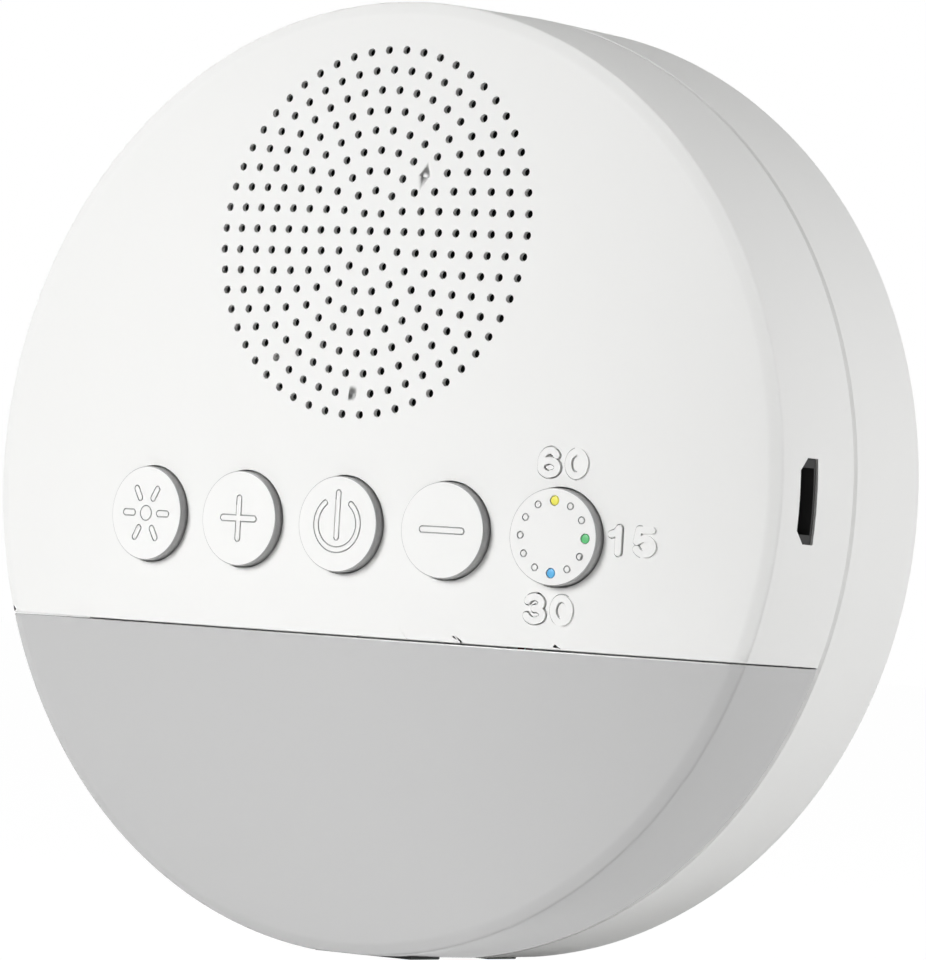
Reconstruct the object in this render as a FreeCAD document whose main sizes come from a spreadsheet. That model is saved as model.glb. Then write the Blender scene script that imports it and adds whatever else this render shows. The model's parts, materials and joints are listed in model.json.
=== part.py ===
import FreeCAD, Part
import math
import os
import re

# A round tabletop sound machine: a domed front with a grille, five push buttons and a light lens,
# and a rear shell behind the seam. Depths run back (+Y) from the plane of the face's edge circle,
# and heights run up (+Z) from the centre of the disc. The origin is on the surface it stands on.

SIZES = (
    # Outer form
    ("case_radius", 56.0),
    ("face_crown", 5.4),
    ("edge_width", 1.4),
    ("edge_depth", 0.7),
    ("seam_flare", 0.4),
    ("rear_flare", 0.3),
    ("rear_round", 1.5),
    ("front_depth", 15.8),
    ("case_depth", 31.1),
    ("wall", 2.0),
    ("seam_bevel", 0.45),
    ("lip_depth", 2.8),
    ("lip_wall", 1.4),
    ("lip_clearance", 0.2),
    # Straight joint between the white shell and the lens
    ("divider_drop", 18.75),
    ("divider_gap", 0.15),
    ("shelf_wall", 1.2),
    ("shelf_clearance", 0.3),
    # Flat and pads underneath
    ("flat_cut", 0.2),
    ("pad_proud", 0.3),
    ("pad_seat", 0.5),
    ("pad_width", 14.0),
    ("pad_length", 6.0),
    ("pad_clearance", 0.1),
    ("pad_inset", 4.5),
    # Grille of round holes on hexagonal rings
    ("grille_rise", 28.55),
    ("grille_pitch", 2.4),
    ("grille_hole", 1.0),
    ("grille_rings", 9),
    # Push buttons
    ("button_radius", 5.6),
    ("button_gap", 0.2),
    ("button_proud", 1.2),
    ("button_pitch", 14.6),
    ("button_drop", 5.88),
    ("button_travel", 0.5),
    ("flange_width", 0.8),
    ("flange_gap", 0.15),
    ("button_back", 0.2),
    ("icon_depth", 0.25),
    ("icon_stroke", 0.8),
    ("icon_span", 5.9),
    ("sun_ring", 2.0),
    ("sun_start", 1.8),
    ("sun_reach", 4.0),
    ("sun_rays", 6),
    ("power_radius", 3.15),
    ("power_stroke", 0.65),
    ("power_opening", 36.0),
    ("power_bar_top", 3.9),
    ("power_bar_foot", 1.8),
    ("dial_radius", 4.15),
    ("dial_dots", 12),
    ("dial_dot", 0.8),
    ("window_width", 1.1),
    ("window_clearance", 0.05),
    # Tact switches under the buttons
    ("switch_side", 6.0),
    ("switch_height", 2.2),
    ("switch_floor", 0.6),
    ("plunger_radius", 1.7),
    ("plunger_clearance", 0.1),
    ("plunger_margin", 0.3),
    # Main board, behind the buttons
    ("board_depth", 3.6),
    ("board_thickness", 1.2),
    ("board_left", 48.0),
    ("board_top", 4.0),
    ("board_bottom", 16.4),
    ("board_clearance", 1.0),
    ("board_boss_radius", 2.5),
    ("board_boss_inner", 21.9),
    ("board_boss_outer", 42.0),
    ("board_boss_drop", 13.2),
    ("board_screw_head", 2.0),
    ("board_screw_head_height", 1.3),
    ("board_screw_radius", 0.9),
    ("board_screw_length", 4.2),
    ("screw_clearance", 0.1),
    ("screw_bottom", 0.3),
    ("recess_reach", 0.6),
    ("recess_width", 0.5),
    ("recess_depth", 0.6),
    # Micro-USB inlet at the right
    ("usb_wide", 7.5),
    ("usb_narrow", 5.0),
    ("usb_height", 2.6),
    ("usb_slope", 1.0),
    ("usb_length", 5.6),
    ("usb_wall", 0.3),
    ("usb_setback", 0.5),
    ("usb_tongue_width", 3.8),
    ("usb_tongue_thickness", 0.8),
    ("usb_block_length", 1.4),
    ("usb_tongue_setback", 0.6),
    ("usb_clearance", 0.05),
    ("port_margin", 0.5),
    ("port_side", 1.15),
    # Speaker
    ("seat_inner", 22.6),
    ("seat_outer", 24.2),
    ("seat_depth", 3.2),
    ("gasket_thickness", 0.8),
    ("flange_thickness", 1.2),
    ("flange_outer", 23.8),
    ("flange_inner", 21.7),
    ("basket_depth", 7.0),
    ("basket_rear", 13.5),
    ("basket_wall", 0.8),
    ("basket_bore", 5.0),
    ("magnet_radius", 11.5),
    ("magnet_thickness", 5.8),
    ("surround_gap", 0.2),
    ("surround_radius", 19.8),
    ("surround_roll", 1.8),
    ("surround_wall", 0.4),
    ("cone_depth", 5.0),
    ("cone_neck", 6.0),
    ("cone_wall", 0.4),
    ("cap_rise", 1.6),
    ("cloth_radius", 22.3),
    ("cloth_thickness", 0.4),
    ("cloth_gap", 0.05),
    ("speaker_boss_radius", 2.0),
    ("speaker_boss_ring", 26.0),
    ("speaker_boss_turn", 30.0),
    ("speaker_screw_head", 3.0),
    ("speaker_screw_head_height", 1.4),
    ("speaker_screw_radius", 1.0),
    ("speaker_screw_length", 4.0),
    # Posts and screws that hold the case together
    ("post_inset", 7.1),
    ("upper_post_turn", 40.0),
    ("lower_post_turn", 50.0),
    ("front_post_radius", 3.2),
    ("rear_post_radius", 4.2),
    ("post_joint", 14.0),
    ("case_screw_radius", 1.3),
    ("case_screw_reach", 8.0),
    ("case_screw_head", 2.5),
    ("case_screw_head_height", 1.8),
    ("counterbore_radius", 2.8),
    ("counterbore_depth", 8.0),
    ("case_screw_bottom", 0.6),
    # Night-light board behind the lens
    ("light_board_width", 52.0),
    ("light_board_height", 12.0),
    ("light_board_drop", 32.0),
    ("light_board_depth", 7.0),
    ("light_board_thickness", 1.2),
    ("light_post_side", 22.0),
    ("light_post_radius", 2.6),
    ("light_led_count", 6),
    ("light_led_pitch", 6.0),
    ("light_led_width", 3.5),
    ("light_led_height", 2.8),
    ("light_led_thickness", 0.8),
    # Chips: middle across and up, and their sizes
    ("sound_chip_across", -2.0),
    ("sound_chip_up", -6.0),
    ("sound_chip_width", 8.0),
    ("sound_chip_height", 7.0),
    ("sound_chip_thickness", 1.2),
    ("memory_chip_across", -14.0),
    ("memory_chip_up", -9.0),
    ("memory_chip_width", 5.0),
    ("memory_chip_height", 5.2),
    ("memory_chip_thickness", 1.6),
    ("amplifier_across", 9.0),
    ("amplifier_up", -1.0),
    ("amplifier_width", 5.0),
    ("amplifier_height", 4.0),
    ("amplifier_thickness", 1.5),
    ("charge_chip_across", 31.0),
    ("charge_chip_up", -4.0),
    ("charge_chip_width", 3.0),
    ("charge_chip_height", 3.0),
    ("charge_chip_thickness", 1.1),
    ("coil_across", 36.0),
    ("coil_up", -11.0),
    ("coil_width", 4.0),
    ("coil_height", 4.0),
    ("coil_thickness", 2.2),
    # Indicator lights under the timer button
    ("indicator_length", 1.6),
    ("indicator_width", 0.8),
    ("indicator_thickness", 0.6),
    # Battery on the rear wall
    ("battery_width", 50.0),
    ("battery_height", 34.0),
    ("battery_thickness", 8.0),
    ("battery_rise", 5.0),
    ("tape_thickness", 0.8),
    ("tape_inset", 3.0),
    # Sockets, plugs and wires
    ("socket_width", 6.0),
    ("socket_height", 4.0),
    ("socket_depth", 3.4),
    ("plug_inset", 0.3),
    ("plug_depth", 3.0),
    ("wire_radius", 0.4),
    ("wire_pitch", 1.2),
    ("wire_bend_share", 0.45),
    ("speaker_socket_side", 10.0),
    ("speaker_socket_rise", 0.0),
    ("battery_socket_side", 31.0),
    ("battery_socket_drop", 10.0),
    ("light_socket_side", 12.0),
    ("light_socket_drop", 12.0),
    ("terminal_ring", 12.6),
    ("wire_run", 5.3),
    ("light_wire_run", 8.3),
    ("light_wire_inset", 2.0),
    ("cut_margin", 5.0),
)

PLACES = (
    ("face_radius", "case_radius - edge_width"),
    ("seam_radius", "case_radius + seam_flare"),
    ("rear_radius", "case_radius + rear_flare"),
    ("flat_drop", "case_radius - flat_cut"),
    ("centre_height", "flat_drop + pad_proud"),
    ("face_plane", "-(case_depth - face_crown - button_proud) / 2"),
    ("dome_radius", "(face_radius ^ 2 + face_crown ^ 2) / (2 * face_crown)"),
    ("dome_centre", "dome_radius - face_crown"),
    ("cavity_radius", "case_radius - wall"),
    ("front_limit", "-face_crown - button_proud - cut_margin"),
    ("lip_radius", "cavity_radius - lip_clearance"),
    ("lip_front", "front_depth - lip_depth"),
    ("rear_inside", "case_depth - wall"),
    ("rear_cavity", "rear_radius - wall"),
    ("aperture_radius", "button_radius + button_gap"),
    ("flange_radius", "button_radius + flange_width"),
    ("switch_front", "board_depth - switch_height"),
    ("plunger_end", "board_depth - switch_floor - plunger_margin - button_travel"),
    ("board_rear", "board_depth + board_thickness"),
    ("board_radius", "cavity_radius - board_clearance"),
    ("usb_end", "cavity_radius - usb_setback"),
    ("gasket_rear", "seat_depth + gasket_thickness"),
    ("basket_front", "gasket_rear + flange_thickness"),
    ("basket_end", "basket_front + basket_depth"),
    ("basket_back", "basket_end + basket_wall"),
    ("surround_plane", "gasket_rear + surround_wall + surround_gap"),
    ("cone_radius", "surround_radius - surround_roll"),
    ("post_ring", "cavity_radius - post_inset"),
    ("upper_post_side", "post_ring * cos(upper_post_turn * 1 deg)"),
    ("upper_post_rise", "post_ring * sin(upper_post_turn * 1 deg)"),
    ("lower_post_side", "post_ring * cos(lower_post_turn * 1 deg)"),
    ("lower_post_drop", "post_ring * sin(lower_post_turn * 1 deg)"),
    ("counterbore_floor", "case_depth - counterbore_depth"),
    ("light_board_rear", "light_board_depth + light_board_thickness"),
    ("tape_front", "rear_inside - tape_thickness"),
    ("battery_front", "tape_front - battery_thickness"),
    ("socket_rear", "board_rear + socket_depth"),
    ("plug_rear", "socket_rear + plug_depth"),
)

BUTTONS = (("light", -2), ("plus", -1), ("power", 0), ("minus", 1), ("timer", 2))
WINDOWS = (("yellow", 90), ("green", 0), ("blue", -90))
SIDES = (("left", -1), ("right", 1))
CHIPS = ("sound_chip", "memory_chip", "amplifier", "charge_chip", "coil")
ALONG_Y = FreeCAD.Rotation(FreeCAD.Vector(1, 0, 0), -90)

doc = FreeCAD.newDocument("SoundMachine")
sheet = doc.addObject("Spreadsheet::Sheet", "Sizes")
for row, (alias, value) in enumerate(SIZES, 1):
    sheet.set("A%d" % row, alias)
    sheet.set("B%d" % row, str(value))
    sheet.setAlias("B%d" % row, alias)
doc.recompute()
places = doc.addObject("Spreadsheet::Sheet", "Places")
KNOWN = {alias: "Sizes." + alias for alias, value in SIZES}


def formula(text):
    """Point each named size in a formula at its own cell."""
    return re.sub(r"[a-z][a-z0-9_]*", lambda word: KNOWN.get(word.group(), word.group()), str(text))


for row, (alias, text) in enumerate(PLACES, 1):
    places.set("A%d" % row, alias)
    places.set("B%d" % row, "=" + formula(text))
    places.setAlias("B%d" % row, alias)
    KNOWN[alias] = "Places." + alias
    doc.recompute()

nodes = []


def value(name):
    """Number held by one named cell."""
    holder = sheet if KNOWN[name].startswith("Sizes.") else places
    return float(holder.get(name))


def bind(item, **formulas):
    for key, text in formulas.items():
        item.setExpression(key, formula(text))


def put(item, x, depth, height):
    """Place an item from the disc's centre and the plane of the face's edge."""
    item.setExpression("Placement.Base.x", formula(x))
    item.setExpression("Placement.Base.y", formula("face_plane + (%s)" % depth))
    item.setExpression("Placement.Base.z", formula("centre_height + (%s)" % height))


def rod(name, radius, front, rear, x="0", height="0"):
    item = doc.addObject("Part::Cylinder", name)
    item.Placement = FreeCAD.Placement(FreeCAD.Vector(), ALONG_Y)
    bind(item, Radius=radius, Height="(%s) - (%s)" % (rear, front))
    put(item, x, front, height)
    return item


def taper(name, front_radius, rear_radius, front, rear, height="0"):
    item = doc.addObject("Part::Cone", name)
    item.Placement = FreeCAD.Placement(FreeCAD.Vector(), ALONG_Y)
    bind(item, Radius1=front_radius, Radius2=rear_radius, Height="(%s) - (%s)" % (rear, front))
    put(item, "0", front, height)
    return item


def roll(name, ring_radius, tube_radius, depth, height="0"):
    item = doc.addObject("Part::Torus", name)
    item.Placement = FreeCAD.Placement(FreeCAD.Vector(), ALONG_Y)
    bind(item, Radius1=ring_radius, Radius2=tube_radius)
    put(item, "0", depth, height)
    return item


def block(name, left, right, front, rear, bottom, top):
    item = doc.addObject("Part::Box", name)
    bind(item, Length="(%s) - (%s)" % (right, left))
    bind(item, Width="(%s) - (%s)" % (rear, front))
    bind(item, Height="(%s) - (%s)" % (top, bottom))
    put(item, left, front, bottom)
    return item


def centred_block(name, x, height, width, tall, front, rear):
    left = "(%s) - (%s) / 2" % (x, width)
    right = "(%s) + (%s) / 2" % (x, width)
    bottom = "(%s) - (%s) / 2" % (height, tall)
    top = "(%s) + (%s) / 2" % (height, tall)
    return block(name, left, right, front, rear, bottom, top)


def dome(name, offset):
    """Ball whose near side is the face, moved out from it by an offset."""
    item = doc.addObject("Part::Sphere", name)
    bind(item, Radius="dome_radius + (%s)" % offset)
    put(item, "0", "dome_centre", "0")
    return item


def join(name, items):
    item = doc.addObject("Part::MultiFuse", name)
    item.Shapes = items
    return item


def overlap(name, first, second):
    item = doc.addObject("Part::Common", name)
    item.Base = first
    item.Tool = second
    return item


def cut(name, base, tools):
    item = doc.addObject("Part::Cut", name)
    item.Base = base
    item.Tool = tools[0] if len(tools) == 1 else join(name + "_cutters", tools)
    return item


def ring(name, inner, outer, front, rear, height="0"):
    core = rod(name + "_core", inner, front, rear, "0", height)
    return cut(name, rod(name + "_disc", outer, front, rear, "0", height), [core])


def group(name, items):
    item = doc.addObject("Part::Compound", name)
    item.Links = items
    return item


def made(name, shape):
    """Item with a worked-out shape, measured from the disc's centre and the face plane."""
    item = doc.addObject("Part::Feature", name)
    item.Shape = shape
    put(item, "0", "0", "0")
    return item


def node(label, item):
    item.Label = label
    nodes.append(item)
    return item


def screw(name, x, height, head_face, toward, head, head_height, radius, length):
    """Screw whose head sits on head_face; toward is 1 for a head behind it and -1 for one in front."""
    tip = "(%s) - (%s) * (%s)" % (head_face, toward, length)
    crown = "(%s) + (%s) * (%s)" % (head_face, toward, head_height)
    floor = "(%s) - (%s) * recess_depth" % (crown, toward)
    ends = {1: (tip, head_face, crown, floor), -1: (head_face, tip, crown, floor)}[toward]
    shank = rod(name + "_shank", radius, ends[0], ends[1], x, height)
    spans = {1: (head_face, crown, floor, crown), -1: (crown, head_face, crown, floor)}[toward]
    cap = rod(name + "_head", head, spans[0], spans[1], x, height)
    long_side = "2 * recess_reach * (%s)" % head
    across = centred_block(name + "_across", x, height, long_side, "recess_width", spans[2], spans[3])
    down = centred_block(name + "_down", x, height, "recess_width", long_side, spans[2], spans[3])
    return cut(name, join(name + "_blank", [shank, cap]), [across, down])


# Domed cover: the form shared by the white front shell and the lens
cover_form = join("cover_form", [
    overlap("face_cap", dome("face_ball", "0"), rod("face_disc", "face_radius", "front_limit", "0")),
    taper("edge_band", "face_radius", "case_radius", "0", "edge_depth"),
    taper("front_side", "case_radius", "seam_radius", "edge_depth", "front_depth - seam_bevel"),
    taper("front_seam", "seam_radius", "seam_radius - seam_bevel", "front_depth - seam_bevel", "front_depth"),
])
front_cavity = overlap(
    "front_cavity",
    dome("cavity_ball", "-wall"),
    rod("cavity_bore", "cavity_radius", "front_limit", "front_depth"),
)
cover_wall = cut("cover_wall", cover_form, [front_cavity])
reach = "case_radius + cut_margin"


def below_divider(name, top):
    return block(name, "-(%s)" % reach, reach, "front_limit", "front_depth + cut_margin", "-(%s)" % reach, top)


def foot_cutters(name, front):
    """Flat along the bottom, and the shallow seat of one pad in it."""
    underside = block(
        name + "_flat", "-(%s)" % reach, reach, "front_limit", "case_depth + cut_margin",
        "-(%s)" % reach, "-flat_drop",
    )
    seat = block(
        name + "_seat", "-pad_width / 2 - pad_clearance", "pad_width / 2 + pad_clearance",
        "(%s) - pad_clearance" % front, "(%s) + pad_length + pad_clearance" % front,
        "-(%s)" % reach, "pad_seat - flat_drop",
    )
    return [underside, seat]


def front_posts(name, side, height):
    """Pair of posts inside the domed cover, with the screw holes that go into them."""
    posts = []
    holes = []
    for label, sign in SIDES:
        x = "%d * %s" % (sign, side)
        form = rod(name + label, "front_post_radius", "front_limit", "post_joint", x, height)
        posts.append(overlap(name + label + "_trim", form, cover_form))
        depth = "post_joint - case_screw_reach - case_screw_bottom"
        bore = "case_screw_radius + screw_clearance"
        holes.append(rod(name + label + "_hole", bore, depth, "post_joint", x, height))
    return posts, holes


# White front shell
def grille_shape():
    """Holes on hexagonal rings, straight through the dome."""
    pitch = value("grille_pitch")
    rise = value("grille_rise")
    front = value("front_limit")
    depth = value("seat_depth") - front
    centres = [(0.0, 0.0)]
    for ring_number in range(1, int(value("grille_rings")) + 1):
        count = 6 * ring_number
        for step in range(count):
            angle = 2 * math.pi * step / count
            centres.append((ring_number * pitch * math.cos(angle), ring_number * pitch * math.sin(angle)))
    holes = [
        Part.makeCylinder(
            value("grille_hole") / 2, depth, FreeCAD.Vector(x, front, rise + z), FreeCAD.Vector(0, 1, 0)
        )
        for x, z in centres
    ]
    return Part.makeCompound(holes)


def board_boss_places():
    """Two bosses near the lower edge of the board and two outside the row of buttons."""
    places_list = []
    for label, sign in SIDES:
        places_list.append((label + "_inner", "%d * board_boss_inner" % sign, "-board_boss_drop"))
        places_list.append((label + "_outer", "%d * board_boss_outer" % sign, "-button_drop"))
    return places_list


def speaker_boss_places():
    places_list = []
    for label, sign in SIDES:
        for level, lift in (("low", -1), ("high", 1)):
            x = "%d * speaker_boss_ring * cos(speaker_boss_turn * 1 deg)" % sign
            height = "grille_rise + %d * speaker_boss_ring * sin(speaker_boss_turn * 1 deg)" % lift
            places_list.append((label + "_" + level, x, height))
    return places_list


def d_form(name, start, end, front, rear, slope, wide, narrow):
    """Prism along X with two corners of its front side cut off."""
    body = block(
        name + "_body", start, end, "(%s) + (%s)" % (front, slope), rear, "-(%s) / 2" % wide, "(%s) / 2" % wide
    )
    nose = doc.addObject("Part::Wedge", name + "_nose")
    bind(nose, Xmin=start, X2min=start, Xmax=end, X2max=end)
    bind(nose, Ymin="0", Ymax=slope)
    bind(nose, Zmin="-(%s) / 2" % narrow, Zmax="(%s) / 2" % narrow)
    bind(nose, Z2min="-(%s) / 2" % wide, Z2max="(%s) / 2" % wide)
    put(nose, "0", front, "0")
    return join(name, [body, nose])


def button_x(number):
    return "%d * button_pitch" % number


grille = made("grille_holes", grille_shape())
upper_posts, upper_holes = front_posts("upper_post", "upper_post_side", "upper_post_rise")
shelf = overlap("shelf", cover_form, block(
    "shelf_plate", "-(%s)" % reach, reach, "front_limit", "lip_front - shelf_clearance",
    "-divider_drop", "shelf_wall - divider_drop",
))
seat_form = ring("seat_form", "seat_inner", "seat_outer", "front_limit", "seat_depth", "grille_rise")
front_features = upper_posts + [shelf, overlap("speaker_seat", seat_form, cover_form)]
front_holes = list(upper_holes)
for label, x, height in board_boss_places():
    boss = rod("board_boss_" + label, "board_boss_radius", "front_limit", "board_depth", x, height)
    front_features.append(overlap("board_boss_trim_" + label, boss, cover_form))
    bore = "board_screw_radius + screw_clearance"
    depth = "board_rear - board_screw_length - screw_bottom"
    front_holes.append(rod("board_bore_" + label, bore, depth, "board_depth", x, height))
for label, x, height in speaker_boss_places():
    boss = rod("speaker_boss_" + label, "speaker_boss_radius", "front_limit", "basket_front", x, height)
    front_features.append(overlap("speaker_boss_trim_" + label, boss, cover_form))
    bore = "speaker_screw_radius + screw_clearance"
    depth = "basket_front - speaker_screw_length - screw_bottom"
    front_holes.append(rod("speaker_bore_" + label, bore, depth, "basket_front", x, height))
for name, number in BUTTONS:
    x = button_x(number)
    front_holes.append(rod(name + "_aperture", "aperture_radius", "front_limit", "board_depth", x, "-button_drop"))
port = d_form(
    "usb_port", "usb_end - usb_length", reach, "board_rear - port_margin", "board_rear + usb_height + port_margin",
    "usb_slope + port_margin", "usb_wide + 2 * port_side", "usb_narrow + 2 * port_side",
)
front_blank = join("front_blank", [cover_wall] + front_features)
front_cut = cut("front_cut", front_blank, front_holes + [port, below_divider("lens_room", "-divider_drop")])
front_shell = node("front_shell", cut("front_shell", front_cut, [grille]))

# Night-light lens
lower_posts, lower_holes = front_posts("lower_post", "lower_post_side", "-lower_post_drop")
lens_wall = overlap("lens_wall", cover_wall, below_divider("lens_part", "-divider_drop - divider_gap"))
lens_blank = join("lens_blank", [lens_wall] + lower_posts)
lens = node("light_lens", cut("light_lens", lens_blank, lower_holes + foot_cutters("front_foot", "pad_inset")))

# Rear shell
rear_form = join("rear_form", [
    taper("rear_seam", "seam_radius - seam_bevel", "seam_radius", "front_depth", "front_depth + seam_bevel"),
    taper("rear_side", "seam_radius", "rear_radius", "front_depth + seam_bevel", "case_depth - rear_round"),
    rod("rear_core", "rear_radius - rear_round", "front_depth + seam_bevel", "case_depth"),
    roll("rear_edge", "rear_radius - rear_round", "rear_round", "case_depth - rear_round"),
    rod("rear_lip", "lip_radius", "lip_front", "front_depth + lip_wall"),
])
rear_wall = cut("rear_wall", rear_form, [
    rod("lip_bore", "lip_radius - lip_wall", "lip_front - cut_margin", "front_depth + lip_wall"),
    rod("rear_bore", "rear_cavity", "front_depth + lip_wall", "rear_inside"),
])
case_posts = []
for pair, side, height in (
    ("upper", "upper_post_side", "upper_post_rise"),
    ("lower", "lower_post_side", "-lower_post_drop"),
):
    for label, sign in SIDES:
        case_posts.append((pair + "_" + label, "%d * %s" % (sign, side), height))
rear_features = [rear_wall]
rear_holes = foot_cutters("rear_foot", "case_depth - pad_inset - pad_length")
for label, x, height in case_posts:
    rear_features.append(rod("rear_post_" + label, "rear_post_radius", "post_joint", "rear_inside", x, height))
    bore = "case_screw_radius + screw_clearance"
    rear_holes.append(rod("rear_hole_" + label, bore, "post_joint", "counterbore_floor", x, height))
    rear_holes.append(rod("counterbore_" + label, "counterbore_radius", "counterbore_floor", "case_depth", x, height))
for label, sign in SIDES:
    x = "%d * light_post_side" % sign
    height = "-light_board_drop"
    rear_features.append(rod("light_post_" + label, "light_post_radius", "light_board_rear", "rear_inside", x, height))
    bore = "board_screw_radius + screw_clearance"
    depth = "light_board_depth + board_screw_length + screw_bottom"
    rear_holes.append(rod("light_hole_" + label, bore, "light_board_rear", depth, x, height))
rear_shell = node("rear_shell", cut("rear_shell", join("rear_blank", rear_features), rear_holes))


def pad(name, front):
    return block(
        name, "-pad_width / 2", "pad_width / 2", front, "(%s) + pad_length" % front,
        "-flat_drop - pad_proud", "pad_seat - flat_drop",
    )


node("foot_pads", group("foot_pads", [
    pad("front_pad", "pad_inset"),
    pad("rear_pad", "case_depth - pad_inset - pad_length"),
]))
node("case_screws", group("case_screws", [
    screw(
        "case_screw_" + label, x, height, "counterbore_floor", 1, "case_screw_head", "case_screw_head_height",
        "case_screw_radius", "counterbore_floor - post_joint + case_screw_reach",
    )
    for label, x, height in case_posts
]))


# Push buttons
def bar(left, right, bottom, top):
    """Upright prism, used to press a mark into a button's top."""
    front = value("front_limit")
    return Part.makeBox(
        right - left, value("button_back") - front, top - bottom, FreeCAD.Vector(left, front, bottom)
    )


def peg(radius, x, z):
    front = value("front_limit")
    corner = FreeCAD.Vector(x, front, z)
    return Part.makeCylinder(radius, value("button_back") - front, corner, FreeCAD.Vector(0, 1, 0))


def tube(inner, outer, x, z):
    return peg(outer, x, z).cut(peg(inner, x, z))


def turned(shape, angle):
    copy = shape.copy()
    copy.rotate(FreeCAD.Vector(), FreeCAD.Vector(0, -1, 0), angle)
    return copy


def light_mark():
    half = value("icon_stroke") / 2
    rays = [
        turned(bar(-half, half, value("sun_start"), value("sun_reach")), 360 * number / value("sun_rays"))
        for number in range(int(value("sun_rays")))
    ]
    return Part.makeCompound([peg(value("sun_ring") / 2, 0, 0)] + rays)


def minus_mark():
    half = value("icon_span") / 2
    stroke = value("icon_stroke") / 2
    return bar(-half, half, -stroke, stroke)


def plus_mark():
    return minus_mark().fuse(turned(minus_mark(), 90)).removeSplitter()


def power_mark():
    middle = value("power_radius")
    stroke = value("power_stroke")
    opening = math.radians(value("power_opening"))
    front = value("front_limit")
    top = 2 * middle
    side = top * math.tan(opening)
    corners = [FreeCAD.Vector(0, front, 0), FreeCAD.Vector(side, front, top), FreeCAD.Vector(-side, front, top)]
    gap_face = Part.Face(Part.makePolygon(corners + corners[:1]))
    gap = gap_face.extrude(FreeCAD.Vector(0, value("button_back") - front, 0))
    arc = tube(middle - stroke / 2, middle + stroke / 2, 0, 0).cut(gap)
    stem = bar(-stroke / 2, stroke / 2, -value("power_bar_foot"), value("power_bar_top"))
    return Part.makeCompound([arc, stem])


def timer_mark():
    coloured = [angle % 360 for name, angle in WINDOWS]
    dots = []
    for number in range(int(value("dial_dots"))):
        angle = 360 * number / value("dial_dots")
        if angle not in coloured:
            x = value("dial_radius") * math.cos(math.radians(angle))
            z = value("dial_radius") * math.sin(math.radians(angle))
            dots.append(peg(value("dial_dot") / 2, x, z))
    return Part.makeCompound(dots)


MARKS = {
    "light": light_mark, "plus": plus_mark, "power": power_mark, "minus": minus_mark, "timer": timer_mark
}


def mark(name, number):
    """Mark at its button, above the level that it is pressed to."""
    item = doc.addObject("Part::Feature", name + "_mark")
    item.Shape = MARKS[name]()
    put(item, button_x(number), "0", "-button_drop")
    return cut(name + "_mark_cut", item, [dome(name + "_mark_floor", "button_proud - icon_depth")])


def window_place(number, angle):
    x = "%s + dial_radius * cos(%d deg)" % (button_x(number), angle)
    height = "-button_drop + dial_radius * sin(%d deg)" % angle
    return x, height


def button(name, number):
    x = button_x(number)
    height = "-button_drop"
    cap_form = rod(name + "_cap_form", "button_radius", "front_limit", "button_back", x, height)
    cap = overlap(name + "_cap", cap_form, dome(name + "_top", "button_proud"))
    flange_form = rod(name + "_flange_form", "flange_radius", "front_limit", "button_back", x, height)
    flange = overlap(name + "_flange", flange_form, dome(name + "_flange_top", "-wall - flange_gap"))
    tools = [mark(name, number)]
    if name == "timer":
        for colour, angle in WINDOWS:
            place = window_place(number, angle)
            radius = "window_width / 2 + window_clearance"
            tools.append(rod("window_hole_" + colour, radius, "front_limit", "button_back", *place))
    return cut(name + "_button", join(name + "_button_blank", [cap, flange]), tools)


for name, number in BUTTONS:
    node(name + "_button", button(name, number))
for name, number in BUTTONS:
    plunger = rod(name + "_plunger", "plunger_radius", "button_back", "plunger_end", button_x(number), "-button_drop")
    node(name + "_plunger", plunger)
for colour, angle in WINDOWS:
    place = window_place(BUTTONS[-1][1], angle)
    form = rod("window_form_" + colour, "window_width / 2", "front_limit", "button_back", *place)
    node("timer_light_" + colour, overlap("timer_light_" + colour, form, dome("window_top_" + colour, "button_proud")))

# Switches and the main board
switches = []
for name, number in BUTTONS:
    x = button_x(number)
    form = centred_block(
        name + "_switch_form", x, "-button_drop", "switch_side", "switch_side", "switch_front", "board_depth"
    )
    radius = "plunger_radius + plunger_clearance"
    bore = rod(name + "_switch_bore", radius, "switch_front", "board_depth - switch_floor", x, "-button_drop")
    switches.append(cut(name + "_switch", form, [bore]))
node("switch_bodies", group("switch_bodies", switches))

board_plate = overlap(
    "board_plate",
    block("board_form", "-board_left", reach, "board_depth", "board_rear", "-board_bottom", "board_top"),
    rod("board_round", "board_radius", "board_depth", "board_rear"),
)
board_bores = [
    rod("board_hole_" + label, "board_screw_radius + 2 * screw_clearance", "board_depth", "board_rear", x, height)
    for label, x, height in board_boss_places()
]
node("main_board", cut("main_board", board_plate, board_bores))
node("board_screws", group("board_screws", [
    screw(
        "board_screw_" + label, x, height, "board_rear", 1, "board_screw_head", "board_screw_head_height",
        "board_screw_radius", "board_screw_length",
    )
    for label, x, height in board_boss_places()
]))

# Chips on the back of the board
chips = []
for name in CHIPS:
    chips.append(centred_block(
        "chip_" + name, name + "_across", name + "_up", name + "_width", name + "_height",
        "board_rear", "board_rear + %s_thickness" % name,
    ))
node("board_chips", group("board_chips", chips))

SOCKETS = (
    ("speaker", "-speaker_socket_side", "speaker_socket_rise"),
    ("battery", "-battery_socket_side", "-battery_socket_drop"),
    ("light", "light_socket_side", "-light_socket_drop"),
)
node("board_sockets", group("board_sockets", [
    centred_block(name + "_socket", x, height, "socket_width", "socket_height", "board_rear", "socket_rear")
    for name, x, height in SOCKETS
]))
node("wire_plugs", group("wire_plugs", [
    centred_block(
        name + "_plug", x, height, "socket_width - 2 * plug_inset", "socket_height - 2 * plug_inset",
        "socket_rear", "plug_rear",
    )
    for name, x, height in SOCKETS
]))

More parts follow.
